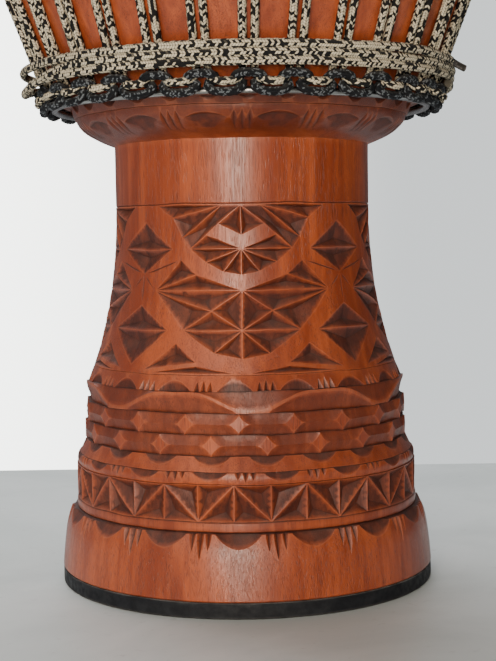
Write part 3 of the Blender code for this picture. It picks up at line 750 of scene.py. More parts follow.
    def panels(self) -> None:
        """The four big panels: fans and stars of pits, smile-shaped lands, and diamonds on the seams."""
        belt = self.next_belt(98.0 * MM, 95.4 * MM, self.neck_radius, repeats=4, turn=-0.5, bend=2.15)
        drawing = Drawing(belt)
        cut = 3.8 * MM
        for side in (-1, 1):
            for names, pull in PANEL_PITS:
                corners = [(side * PANEL_SPOTS[name][0], PANEL_SPOTS[name][1]) for name in names]
                drawing.pit(corners, cut, pull, self.land)
            seam = side * drawing.half
            for stops in PANEL_GROOVES:
                ends = [(side * turn, share, depth * MM) for turn, share, depth in stops]
                drawing.groove(self.groove_width, *ends)
            for middle, high, low in DIAMONDS:
                tip = (seam - side * DIAMOND_HALF_TURN, middle)
                drawing.stroke(Stroke.CREST, (seam, middle), tip)
                for end in (high, low):
                    drawing.stroke(Stroke.CREST, tip, (seam, end))
                    deepest = (seam, blend(middle, end, 0.34), 0.95 * cut)
                    drawing.stroke(Stroke.VALLEY, tip, deepest)
                    drawing.stroke(Stroke.VALLEY, deepest, (seam, end))
                    drawing.stroke(Stroke.VALLEY, (seam, middle, 0.0), deepest)
        self.carve(drawing)

    def neck(self) -> None:
        """The plain neck."""
        low, height = self.top + self.groove, 37.6 * MM
        # The first ring lies in the groove at the neck's foot and is darkened and marked a valley: painted
        # shade.
        for share, inward, valley in ((0.0, 0.7, 1.0), (0.02, 0.1, 0.0), (0.35, 0.0, 0.0), (0.7, 0.0, 0.0)):
            marks = (inward, 0.0, valley)
            self.wood.ring(self.neck_radius - inward * MM, low + share * height, self.smooth_sides, marks)
        self.top = low + height - self.groove

    def collar(self) -> None:
        """The flare below the bowl, with arched hollows, lens-shaped bumps and triple notches."""
        belt = self.next_belt(17.0 * MM, self.neck_radius, self.collar_radius, 15, turn=12.6, bend=1.9)
        drawing = Drawing(belt)
        wide, deep = drawing.turn_of(11.5 * MM), 1.9 * MM
        arch_foot, arch_rise, steps = 0.6, 0.17, 12
        for share_out, depth, kind in ((0.0, 0.0, Stroke.CREST), (0.05, deep, Stroke.VALLEY),
                                       (0.3, 0.6 * deep, Stroke.FOLD), (0.55, 0.0, Stroke.FOLD)):
            stops = []
            for step in range(steps + 1):
                across = 2 * step / steps - 1
                swell = 1 - across * across
                level = arch_foot + arch_rise * swell - share_out * swell
                stops.append((across * wide, level, depth * math.sqrt(swell)))
            drawing.stroke(kind, *stops)
        base, tail, tall = 0.58, 0.2, 0.3
        for side in (-1, 1):
            edge = side * drawing.half
            near = side * (drawing.half - drawing.turn_of(1.9 * MM))
            middle = side * (drawing.half - drawing.turn_of(4.2 * MM))
            drawing.stroke(Stroke.CREST, (near, base), (edge, base + tall))
            drawing.stroke(Stroke.VALLEY, (edge, base, deep), (edge, base + tall))
            drawing.stroke(Stroke.VALLEY, (edge, base, deep), (edge, tail))
            drawing.leaf(middle, drawing.turn_of(1.8 * MM), base, rise=0.26, depth=deep)
            drawing.stroke(Stroke.VALLEY, (middle, base, deep), (middle, tail))
        self.carve(drawing, grooved=False)

    def collar_band(self) -> None:
        """The band between the collar's groove and the bowl, with small bumps, darkened by the painted shade
        under the bowl.
        """
        belt = self.next_belt(6.0 * MM, self.collar_radius + 1.0 * MM, 107.0 * MM, repeats=30, turn=2.3)
        drawing = Drawing(belt)
        drawing.scoop(0.0, drawing.turn_of(7.0 * MM), base=1.0, rise=-0.7, depth=1.6 * MM)
        self.carve(drawing)

    def bowl_outside(self, height: float) -> float:
        """The radius of the bowl's outside: full below, drawn in a little at the rim.

        Args:
            height: The height over the floor.

        Returns:
            The radius.
        """
        low = self.bowl_low
        widest = low + self.widest_share * self.bowl_height
        if height > widest:
            share = (height - widest) / (self.rim_height - widest)
            return self.bowl_radius - (self.bowl_radius - self.rim_radius) * share ** 3
        share = (widest - height) / (widest - low)
        return self.bowl_radius - (self.bowl_radius - self.bowl_low_radius) * share ** 1.85

    @property
    def rim_height(self) -> float:
        """The height of the wooden rim."""
        return self.bowl_low + self.bowl_height

    def bowl(self) -> None:
        """The smooth bowl, its rounded rim and the whole hollow inside."""
        levels = 38
        for level in range(levels):
            height = blend(self.bowl_low, self.rim_height - self.rim_rounding, level / (levels - 1))
            self.wood.ring(self.bowl_outside(height), height, self.smooth_sides)
        for degrees in (25, 50, 75, 90):
            angle = math.radians(degrees)
            self.wood.ring(self.rim_radius - self.rim_rounding * (1 - math.cos(angle)),
                           self.rim_height - self.rim_rounding * (1 - math.sin(angle)), self.smooth_sides)
        inside = [
            (151.5, 608.3), (150.0, 570.0), (151.0, 497.6), (140.0, 440.0), (124.0, 395.0), (104.0, 345.0),
            (79.8, 297.3), (60.0, 272.0), (60.0, 234.4), (65.0, 180.0), (72.0, 136.0), (90.0, 53.5),
        ]
        # Painted shade: the hollow inside is darkened with the cuts' mark.
        for radius, height in inside:
            self.wood.ring(radius * MM, height * MM, self.bore_sides, (0.8, 0.0, 0.0))

    def hand(self, turn: float, radius: float, height: float) -> Stop:
        """Where the carver's hand puts a point, a little off its true place.

        Args:
            turn: Degrees from the front.
            radius: Distance from the axis.
            height: Height over the floor.

        Returns:
            The turn, radius and height that were cut.
        """
        if radius < self.narrow_bore or height > self.bowl_low:
            return turn, radius, height
        place = around(turn, radius, height)
        carved = ease((height - self.foot_low) / (12 * MM)) * ease((self.bowl_low - height) / (5 * MM))
        slow = wander(place / (21 * MM))
        quick = wander(place / (5.5 * MM))
        drift = (slow * 0.55 + quick * 0.16) * MM * carved
        turned = turn + math.degrees(drift.x / radius)
        return turned, radius + 0.4 * drift.y, height + drift.z

    def build(self) -> bpy.types.Object:
        """Carves the whole shell.

        Returns:
            The shell's object.
        """
        self.foot()
        self.strip()
        self.cells()
        self.rounded_ring()
        self.valley_slope()
        self.beads(7.0, 101.9 * MM)
        self.beads(-2.0, 101.5 * MM)
        self.wave()
        self.arches()
        self.panels()
        self.neck()
        self.collar()
        self.collar_band()
        self.bowl()
        return self.wood.made("carved_shell", self.hand)


PANEL_SPOTS: dict[str, tuple[float, float]] = {
    "neck middle": (0.0, 0.994),
    "neck near": (7.9, 0.994),
    "neck far": (37.6, 0.994),
    "chevron middle": (0.0, 0.815),
    "chevron peak": (9.9, 0.88),
    "chevron foot": (14.6, 0.818),
    "smile far": (29.8, 0.916),
    "smile near": (25.4, 0.8),
    "fan hub": (0.0, 0.735),
    "fan side": (21.6, 0.735),
    "fan left": (14.7, 0.655),
    "fan right": (7.4, 0.601),
    "fan low": (0.0, 0.582),
    "star corner": (37.8, 0.49),
    "star shoulder": (25.7, 0.668),
    "star brow": (18.8, 0.582),
    "star hub": (0.0, 0.49),
    "star knee": (11.8, 0.368),
    "star foot": (22.8, 0.255),
    "low hub": (0.0, 0.255),
    "low knee": (10.2, 0.122),
    "low end": (0.0, 0.09),
    "pit far": (38.5, 0.022),
    "pit top": (25.5, 0.178),
    "pit near": (16.6, 0.068),
    "sliver far": (34.5, 0.008),
    "sliver top": (16.6, 0.05),
    "sliver near": (2.5, 0.008),
}
PANEL_PITS: tuple[tuple[tuple[str, ...], int], ...] = (
    (("neck middle", "chevron middle", "chevron peak"), 1),
    (("neck near", "neck far", "smile far"), 1),
    (("neck near", "smile far", "smile near"), 2),
    (("neck middle", "neck near", "smile near", "fan side", "chevron peak"), 2),
    (("fan hub", "chevron foot", "fan side"), 1),
    (("fan hub", "fan side", "fan left"), 1),
    (("fan hub", "fan left", "fan right"), 1),
    (("fan hub", "fan right", "fan low"), 1),
    (("star corner", "star shoulder", "star brow"), 1),
    (("star corner", "star brow", "star hub"), 1),
    (("star corner", "star hub", "star knee"), 2),
    (("star corner", "star knee", "star foot"), 1),
    (("star hub", "star knee", "low hub"), 1),
    (("star knee", "star foot", "low hub"), 0),
    (("star foot", "low hub", "low knee"), 2),
    (("low hub", "low knee", "low end"), 1),
    (("pit far", "pit top", "pit near"), 1),
    (("sliver far", "sliver top", "sliver near"), 1),
)
PANEL_GROOVES: tuple[tuple[Stop, ...], ...] = (
    ((45.0, 0.585, 0.0), (45.0, 0.54, 0.45), (45.0, 0.45, 0.45), (45.0, 0.4, 0.0)),
    ((45.0, 0.9, 0.0), (45.0, 0.95, 0.45), (45.0, 0.99, 0.0)),
    ((26.6, 0.664, 0.0), (31.0, 0.645, 0.6), (40.0, 0.606, 0.6), (44.0, 0.589, 0.0)),
    ((38.6, 0.494, 0.0), (41.0, 0.526, 0.5), (43.0, 0.553, 0.5), (44.4, 0.575, 0.0)),
)
DIAMONDS = ((0.735, 0.9, 0.585), (0.252, 0.4, 0.045))
DIAMOND_HALF_TURN = 15.2


LAY_MAP = "Lay"


@dataclass
class Rope:
    """A round rope or cord along a course, with the bumps of its plait."""

    name: str
    radius: float
    lay: float
    sides: int = 8
    lump: float = 0.06
    closed: bool = True
    flatness: float = 1.0
    length: float = field(default=0.0, init=False)

    def smooth(self, course: Sequence[Stop], parts: int) -> np.ndarray:
        """Points of a smooth curve through a course.

        Args:
            course: The stops as (turn, radius, height).
            parts: How many points each span gets.

        Returns:
            The points in metres, one row each.
        """
        stops = np.array(course)
        count = len(stops)
        spans = count if self.closed else count - 1
        found = []
        for n in range(spans):
            if self.closed:
                four = [stops[(n + k) % count].copy() for k in (-1, 0, 1, 2)]
                for k in (0, 2, 3):
                    four[k][0] += FULL_TURN * round((four[1][0] - four[k][0]) / FULL_TURN)
            else:
                four = [stops[min(count - 1, max(0, n + k))] for k in (-1, 0, 1, 2)]
            a, b, c, d = four
            for step in range(parts):
                t = step / parts
                found.append(0.5 * (2 * b + (c - a) * t + (2 * a - 5 * b + 4 * c - d) * t * t
                                    + (3 * b - a - 3 * c + d) * t ** 3))
        if not self.closed:
            found.append(stops[-1])
        turned = np.radians([row[0] for row in found])
        radii = np.array([row[1] for row in found])
        return np.stack([radii * np.sin(turned), -radii * np.cos(turned), [row[2] for row in found]], axis=1)

    def evenly(self, points: np.ndarray) -> np.ndarray:
        """The course again with points as far apart as half a stitch of the plait.

        Args:
            points: The points of the smooth curve.

        Returns:
            The evenly spaced points.
        """
        ring = np.vstack([points, points[:1]]) if self.closed else points
        along = np.concatenate([[0.0], np.cumsum(np.linalg.norm(np.diff(ring, axis=0), axis=1))])
        count = max(8, int(round(along[-1] / (self.lay / 2) / 2)) * 2)
        wanted = np.linspace(0.0, along[-1], count + (0 if self.closed else 1), endpoint=not self.closed)
        self.length = float(along[-1])
        return np.stack([np.interp(wanted, along, ring[:, axis]) for axis in range(3)], axis=1)

    def build(self, course: Sequence[Stop], parts: int = 6) -> bpy.types.Object:
        """Makes the rope's mesh, with its lay as a UV map: once round is 1, and metres along.

        Args:
            course: The stops as (turn, radius, height).
            parts: How many points each span of the smooth curve gets.

        Returns:
            The rope's object.
        """
        centres = self.evenly(self.smooth(course, parts))
        count, sides = len(centres), self.sides
        if self.closed:
            along = np.roll(centres, -1, axis=0) - np.roll(centres, 1, axis=0)
        else:
            along = np.gradient(centres, axis=0)
        along /= np.linalg.norm(along, axis=1)[:, None]
        outward = centres * np.array([1.0, 1.0, 0.0])
        outward /= np.linalg.norm(outward, axis=1)[:, None]
        across = np.cross(along, outward)
        across /= np.linalg.norm(across, axis=1)[:, None]
        outward = np.cross(across, along)
        angles = np.linspace(0.0, 2 * math.pi, sides, endpoint=False)
        checker = (-1.0) ** (np.arange(count)[:, None] + np.arange(sides)[None, :])
        radius = self.radius * (1 + self.lump * checker)
        places = (centres[:, None, :]
                  + (radius * np.cos(angles) * self.flatness)[:, :, None] * outward[:, None, :]
                  + (radius * np.sin(angles) / self.flatness)[:, :, None] * across[:, None, :])
        rows = np.arange(count if self.closed else count - 1)
        here = rows[:, None] * sides + np.arange(sides)[None, :]
        beside = rows[:, None] * sides + (np.arange(sides)[None, :] + 1) % sides
        up = ((rows + 1) % count)[:, None] * sides
        faces = np.stack([here, beside, up + (np.arange(sides)[None, :] + 1) % sides,
                          up + np.arange(sides)[None, :]], axis=2).reshape(-1, 4).tolist()
        uvs = []
        pitch = self.length / (count if self.closed else count - 1)
        for row in rows:
            low, high = row * pitch, (row + 1) * pitch
            for side in range(sides):
                left, right = side / sides, (side + 1) / sides
                uvs += [left, low, right, low, right, high, left, high]
        if not self.closed:
            for row, first in ((0, True), (count - 1, False)):
                numbers = [row * sides + side for side in range(sides)]
                faces.append(numbers[::-1] if first else numbers)
                uvs += [0.0, row * pitch] * sides
        made = new_object(self.name, places.reshape(-1, 3).tolist(), faces, 70.0)
        layer = made.data.uv_layers.new(name=LAY_MAP)
        layer.data.foreach_set("uv", np.array(uvs, np.float32))
        return made


@dataclass
class TurnedPiece:
    """A piece turned round the drum's axis from a profile."""

    name: str
    sides: int = 144
    sharp: float = 40.0

    def build(self, profile: Sequence[tuple[float, float]], closed: bool = True,
              ripple: Callable[[float, int], float] | None = None) -> bpy.types.Object:
        """Makes the piece.

        Args:
            profile: The (radius, height) points, anticlockwise. Open ends are joined to the axis.
            closed: Whether the profile is a loop.
            ripple: How far out the point at a turn and a place in the profile stands.

        Returns:
            The piece's object.
        """
        count = len(profile)
        places, faces = [], []
        for side in range(self.sides):
            turn = FULL_TURN * side / self.sides
            for number, (radius, height) in enumerate(profile):
                out = ripple(turn, number) if ripple else 0.0
                places.append(around(turn, radius + out, height))
        for side in range(self.sides):
            here, there = side * count, (side + 1) % self.sides * count
            for n in range(count if closed else count - 1):
                m = (n + 1) % count
                faces.append([here + n, there + n, there + m, here + m])
        if not closed:
            places += [Vector((0.0, 0.0, profile[0][1])), Vector((0.0, 0.0, profile[-1][1]))]
            for side in range(self.sides):
                here, there = side * count, (side + 1) % self.sides * count
                faces.append([len(places) - 2, there, here])
                faces.append([len(places) - 1, here + count - 1, there + count - 1])
        return new_object(self.name, places, faces, self.sharp)


def arc(middle: tuple[float, float], radius: float, start: float, end: float,
        steps: int) -> list[tuple[float, float]]:
    """Points along an arc of a profile.

    Args:
        middle: The arc's centre as (radius, height).
        radius: The arc's own radius.
        start: Angle in degrees at its start, 0 outwards and 90 up.
        end: Angle at its end.
        steps: How many spans it has.

    Returns:
        The points as (radius, height).
    """
    angles = [math.radians(blend(start, end, step / steps)) for step in range(steps + 1)]
    return [(middle[0] + radius * math.cos(a), middle[1] + radius * math.sin(a)) for a in angles]


@dataclass
class Lacing:
    """The rope, its wound tail, the black cradle cord and the two steel rings."""

    pairs: int = 30
    pair_turn: float = 2.3
    spread: float = 1.5
    rope_radius: float = 2.4 * MM
    cord_radius: float = 2.55 * MM
    rod: float = 4.6 * MM
    bottom_radius: float = 116.5 * MM
    bottom_height: float = 295.0 * MM
    wraps: int = 3
    wrap_pitch: float = 4.4 * MM
    wrap_low: float = 305.9 * MM
    wrap_radius: float = 130.7 * MM
    wrap_lean: float = 0.16
    wrap_end: float = 74.0
    lay: float = 4.6 * MM
    slack: tuple[tuple[float, float, float, float], ...] = (
        (47.4, 2.8, 2.9 * MM, 9.0 * MM), (77.0, 3.0, 2.6 * MM, 0.6 * MM), (87.6, 1.4, 1.6 * MM, -0.8 * MM),
    )
    tail: Stop = field(default=(0.0, 0.0, 0.0), init=False)

    def rings(self) -> list[bpy.types.Object]:
        """Makes the two steel rings.

        Returns:
            The bottom ring and the crown ring.
        """
        low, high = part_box("crown_ring")
        crown = (high.x - self.rod * math.cos(math.radians(45)) / 2, (low.z + high.z) / 2)
        made = []
        for name, radius, height in (("steel_ring_low", self.bottom_radius, self.bottom_height),
                                     ("steel_ring_crown", *crown)):
            profile = arc((radius, height), self.rod / 2, 0.0, FULL_TURN, 16)[:-1]
            made.append(TurnedPiece(name, 120).build(profile))
        return made

    def lace(self, shell: CarvedShell) -> bpy.types.Object:
        """Makes the rope, up and down the bowl in pairs, past the bottom ring and over the crown ring.

        Args:
            shell: The wood that the rope lies on.

        Returns:
            The rope's object.
        """
        low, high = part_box("crown_ring")
        crown_radius, crown_height = high.x - 2.1 * MM, (low.z + high.z) / 2
        roll = (high.x + 5.0 * MM, crown_height - 8.6 * MM)
        contact = 345.0 * MM
        start = (self.bottom_radius + 4.9 * MM, self.bottom_height + 9.6 * MM)
        climb = [start, (self.bottom_radius + 8.0 * MM, self.bottom_height + 18.0 * MM)]
        for step in range(11):
            height = blend(contact, crown_height - 32 * MM, step / 10)
            climb.append((shell.bowl_outside(height) + self.rope_radius + 0.1 * MM, height))
        climb.append((roll[0] - 2.5 * MM, crown_height - 18 * MM))
        climb.append(roll)
        step_turn = FULL_TURN / self.pairs
        bend = [(2.2, 5.6, 7.2), (3.4, 8.2, 5.2), (4.6, 10.2, 4.2)]
        course = []
        for pair in range(self.pairs):
            centre = self.pair_turn + pair * step_turn
            slack = 0.5 * noise.noise(Vector((pair * 7.3, 1.0, 0.0))) * MM
            for aside, out, up in [(step_turn / 2, 10.6, 4.0), *reversed(bend)]:
                height = self.bottom_height + up * MM + slack
                course.append((centre - aside, self.bottom_radius + out * MM, height))
            lean = 0.22 * noise.noise(Vector((pair * 3.1, 5.0, 0.0)))
            for side in (-1, 1):
                rising = climb if side < 0 else list(reversed(climb))
                for radius, height in rising:
                    sway = lean * ease((height - 0.3) / 0.3)
                    course.append((centre + side * self.spread + sway, radius, height))
                if side < 0:
                    top = crown_height + self.rod / 2 + self.rope_radius - 0.2 * MM
                    for aside in (-0.8, 0.8):
                        course.append((centre + aside + lean, crown_radius + 4.0 * MM, top - 0.8 * MM))
            for aside, out, up in bend:
                course.append((centre + aside, self.bottom_radius + out * MM, self.bottom_height + up * MM))
        return Rope("lacing_braid", self.rope_radius, self.lay).build(course, 5)

    def wind(self) -> bpy.types.Object:
        """Makes the rope's tail, three turns over the lacing, with its end at the right.

        Returns:
            The tail's object.
        """
        course = []
        step_turn = FULL_TURN / self.pairs
        for n in range(self.wraps * self.pairs + 1):
            rise = self.wrap_pitch * n / self.pairs
            loose = noise.noise(Vector((n * 0.9, 3.0, 0.0)))
            radius = self.wrap_radius + self.wrap_lean * rise + 0.35 * MM * loose
            height = self.wrap_low + rise + 0.3 * MM * loose
            for middle, reach, out, down in self.slack:
                hang = ease(1 - abs(n - middle) / reach)
                radius, height = radius + out * hang, height - down * hang
            course.append((self.wrap_end + n * step_turn, radius, height))
        self.tail = course[-1]
        rope = Rope("wrap_braid", self.rope_radius, self.lay, sides=10, closed=False, flatness=0.93)
        return rope.build(course, 8)

    def end(self) -> bpy.types.Object:
        """Makes the rope's melted end, which stands off the last turn.

        Returns:
            The end's object.
        """
        turn, radius, height = self.tail
        course = [(turn - 0.6, radius, height)]
        for forward, out, down in ((1.2, 1.0, 0.6), (2.6, 3.4, 2.0), (3.6, 6.2, 3.4), (3.9, 7.4, 3.9)):
            course.append((turn + forward, radius + out * MM, height - down * MM))
        melted = Rope("melted_rope_end", 0.88 * self.rope_radius, 2.0 * MM, sides=12, lump=0.03, closed=False)
        return melted.build(course, 6)

    def cradle(self) -> bpy.types.Object:
        """Makes the black cord: over each rope pair, and under the rope's bends between the pairs.

        Returns:
            The cord's object.
        """
        step_turn = FULL_TURN / self.pairs
        half_wave = [
            (0.0, 9.7, 8.8), (1.9, 9.7, 8.5), (3.4, 8.8, 7.0), (3.7, 6.2, 5.0), (2.3, 4.9, 4.4),
            (1.3, 5.2, 3.0), (2.0, 6.0, 0.8), (3.2, 6.9, -0.7), (4.6, 7.2, -1.1), (6.0, 7.4, -1.3),
        ]
        wave = half_wave + [(step_turn - turn, out, up) for turn, out, up in reversed(half_wave[1:-1])]
        course = []
        for pair in range(self.pairs):
            for turn, out, up in wave:
                course.append((self.pair_turn + pair * step_turn + turn, self.bottom_radius + out * MM,
                               self.bottom_height + up * MM))
        return Rope("cradle_cord", self.cord_radius, 3.4 * MM, lump=0.05).build(course, 5)


@dataclass
class Drumhead:
    """The skin, stretched over the rim and rolled round its hidden ring below it."""

    thickness: float = 1.5 * MM
    roll: float = 11.0 * MM
    corner: float = 7.0 * MM
    rim: float = 167.3 * MM
    sides: int = 180

    def build(self) -> bpy.types.Object:
        """Makes the skin inside the space that its solid holds.

        Returns:
            The skin's object.
        """
        low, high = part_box("drumhead_skin")
        roll_radius = self.roll / 2
        middle = (high.x - roll_radius - 0.2 * MM, low.z + roll_radius + 0.1 * MM)
        under = high.z - self.thickness - 0.1 * MM
        profile = [(0.03 * self.rim, under), (0.97 * self.rim, under), (self.rim - 0.1 * MM, under - 5 * MM)]
        first = len(profile)
        profile += arc(middle, roll_radius, 180.0, 440.0, 20)
        for share in (0.0, 0.25, 0.5, 0.75):
            profile.append((blend(self.rim + 1.5 * MM, self.rim, share),
                            blend(middle[1] + roll_radius + 4 * MM, high.z - self.corner, share)))
        last = len(profile)
        profile += arc((self.rim - self.corner, high.z - self.corner), self.corner, 0.0, 90.0, 8)
        for share in (0.9, 0.7, 0.5, 0.3, 0.12, 0.03):
            profile.append((share * self.rim, high.z - 0.25 * MM * (1 - share)))

        def ripple(turn: float, number: int) -> float:
            """Gathers under the rope: small folds near the roll, none over the rim.

            Args:
                turn: Degrees from the front.
                number: Place in the profile.

            Returns:
                How far out the point stands.
            """
            place = around(turn, 1.0, 0.0)
            gather = noise.noise(place * 9.0) + 0.6 * noise.noise(place * 24.0)
            strength = ease((last - number) / 6) if number >= first else 0.0
            return (0.45 * gather - 0.2) * MM * strength

        return TurnedPiece("stretched_skin", self.sides, 50.0).build(profile, closed=False, ripple=ripple)


@dataclass
class RubberRing:
    """The black rubber ring round the rim of the foot."""

    edge: float = 1.1 * MM

    def build(self) -> bpy.types.Object:
        """Makes the ring inside the space that its solid holds.

        Returns:
            The ring's object.
        """
        low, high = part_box("base_rubber_ring")
        outer, inner, edge = high.x - 0.1 * MM, 99.0 * MM, self.edge
        profile = arc((outer - edge, low.z + edge), edge, -90.0, 0.0, 4)
        profile += [(outer, blend(low.z, high.z, share)) for share in (0.3, 0.5, 0.7)]
        profile += arc((outer - edge / 2, high.z - edge / 2), edge / 2, 0.0, 90.0, 3)
        profile += [(inner, high.z), (inner, low.z)]

        def ripple(turn: float, number: int) -> float:
            """Slight unevenness of the rubber's outside."""
            place = around(turn, 1.0, 0.1 * number)
            return -abs(noise.noise(place * 7.0)) * 0.25 * MM if number < len(profile) - 2 else 0.0

        return TurnedPiece("rubber_ring", 180).build(profile, ripple=ripple)


class Bench:
    """Lays shader nodes in a tree and links them."""

    def __init__(self, tree: bpy.types.NodeTree) -> None:
        """Works on a tree.

        Args:
            tree: The material's, group's or world's tree.
        """
        self.tree = tree

    def feed(self, socket: bpy.types.NodeSocket, value: object) -> None:
        """Links a socket to another, or sets it.

        Args:
            socket: The socket.
            value: The socket that feeds it, or its value.
        """
        if isinstance(value, bpy.types.NodeSocket):
            self.tree.links.new(value, socket)
        elif isinstance(value, tuple) and socket.type == "RGBA":
            socket.default_value = (*value, 1.0)
        else:
            socket.default_value = value

    def add(self, kind: str, inputs: dict[str | int, object] | None = None,
            **settings: object) -> bpy.types.Node:
        """Adds a node.

        Args:
            kind: The node's type.
            inputs: What each input is linked to or set to.
            settings: The node's own settings.

        Returns:
            The node.
        """
        node = self.tree.nodes.new(kind)
        for name, value in settings.items():
            setattr(node, name, value)
        for name, value in (inputs or {}).items():
            self.feed(node.inputs[name], value)
        return node

    def math(self, operation: str, first: object, second: object = 0.0) -> bpy.types.NodeSocket:
        """The result of a Math node."""
        return self.add("ShaderNodeMath", {0: first, 1: second}, operation=operation).outputs[0]

    def times(self, first: object, second: object) -> bpy.types.NodeSocket:
        """The product of two values."""
        return self.math("MULTIPLY", first, second)

    def plus(self, first: object, second: object) -> bpy.types.NodeSocket:
        """The sum of two values."""
        return self.math("ADD", first, second)

    def span(self, value: object, low: float, high: float, start: float = 0.0,
             end: float = 1.0) -> bpy.types.NodeSocket:
        """Maps a value smoothly from one range to another, held at both ends.

        Args:
            value: The value.
            low: Where the first range starts.
            high: Where it ends.
            start: Where the second range starts.
            end: Where it ends.

        Returns:
            The mapped value.
        """
        inputs = {0: value, 1: low, 2: high, 3: start, 4: end}
        return self.add("ShaderNodeMapRange", inputs, interpolation_type="SMOOTHSTEP").outputs[0]

    def mix(self, share: object, first: object, second: object) -> bpy.types.NodeSocket:
        """Mixes two colours.

        Args:
            share: How much of the second there is.
            first: The first colour.
            second: The second colour.

        Returns:
            The colour.
        """
        node = self.add("ShaderNodeMix", data_type="RGBA", blend_type="MIX")
        for index, value in ((0, share), (6, first), (7, second)):
            self.feed(node.inputs[index], value)
        return node.outputs[2]

    def noise(self, place: object, scale: object, detail: float = 2.0,
              distortion: float = 0.0) -> bpy.types.NodeSocket:
        """The value of a noise texture at a place.

        Args:
            place: The vector.
            scale: Its scale.
            detail: How many finer layers it has.
            distortion: How far it is pushed about.

        Returns:
            The value, around a half.
        """
        inputs = {"Vector": place, "Scale": scale, "Detail": detail, "Distortion": distortion}
        return self.add("ShaderNodeTexNoise", inputs).outputs[0]

    def stretched_noise(self, place: object, scale: Stop, detail: float,
                        distortion: float = 0.0) -> bpy.types.NodeSocket:
        """The value of a noise texture that is scaled apart along the three axes.

        Args:
            place: The vector.
            scale: Its scale along each axis.
            detail: How many finer layers it has.
            distortion: How far it is pushed about.

        Returns:
            The value, around a half.
        """
        factors = {0: place, 1: Vector(scale)}
        stretched = self.add("ShaderNodeVectorMath", factors, operation="MULTIPLY").outputs[0]
        return self.noise(stretched, 1.0, detail, distortion)

    def along(self, place: object, axis: str) -> bpy.types.NodeSocket:
        """The part of a vector that lies along an axis."""
        return self.add("ShaderNodeSeparateXYZ", {0: place}).outputs[axis]

    def mark(self, title: str) -> bpy.types.NodeSocket:
        """A mark that the mesh carries."""
        return self.add("ShaderNodeAttribute", attribute_name=title).outputs["Fac"]

    def use(self, effect: "Effect", **inputs: object) -> dict[str, bpy.types.NodeSocket]:
        """Places a shared effect.

        Args:
            effect: The effect.
            inputs: Its inputs by name.

        Returns:
            Its outputs by name.
        """
        node = self.add("ShaderNodeGroup", node_tree=effect.tree)
        for name, value in inputs.items():
            self.feed(node.inputs[name], value)
        return {socket.name: socket for socket in node.outputs}


class Effect:
    """A node group that several materials share."""

    def __init__(self, name: str, inputs: dict[str, float | str], outputs: Sequence[str]) -> None:
        """Makes the group with its sockets.

        Args:
            name: The group's name.
            inputs: Each input's default, or "vector" for a place.
            outputs: The names of its outputs, each a value.
        """
        self.tree = bpy.data.node_groups.new(name, "ShaderNodeTree")
        for title, default in inputs.items():
            kind = "NodeSocketVector" if default == "vector" else "NodeSocketFloat"
            socket = self.tree.interface.new_socket(title, in_out="INPUT", socket_type=kind)
            if default != "vector":
                socket.default_value = default
        for title in outputs:
            self.tree.interface.new_socket(title, in_out="OUTPUT", socket_type="NodeSocketFloat")
        self.bench = Bench(self.tree)
        self.given = self.bench.add("NodeGroupInput").outputs
        self.result = self.bench.add("NodeGroupOutput").inputs

    def give(self, title: str, value: bpy.types.NodeSocket) -> None:
        """Links a value to an output."""
        self.tree.links.new(value, self.result[title])


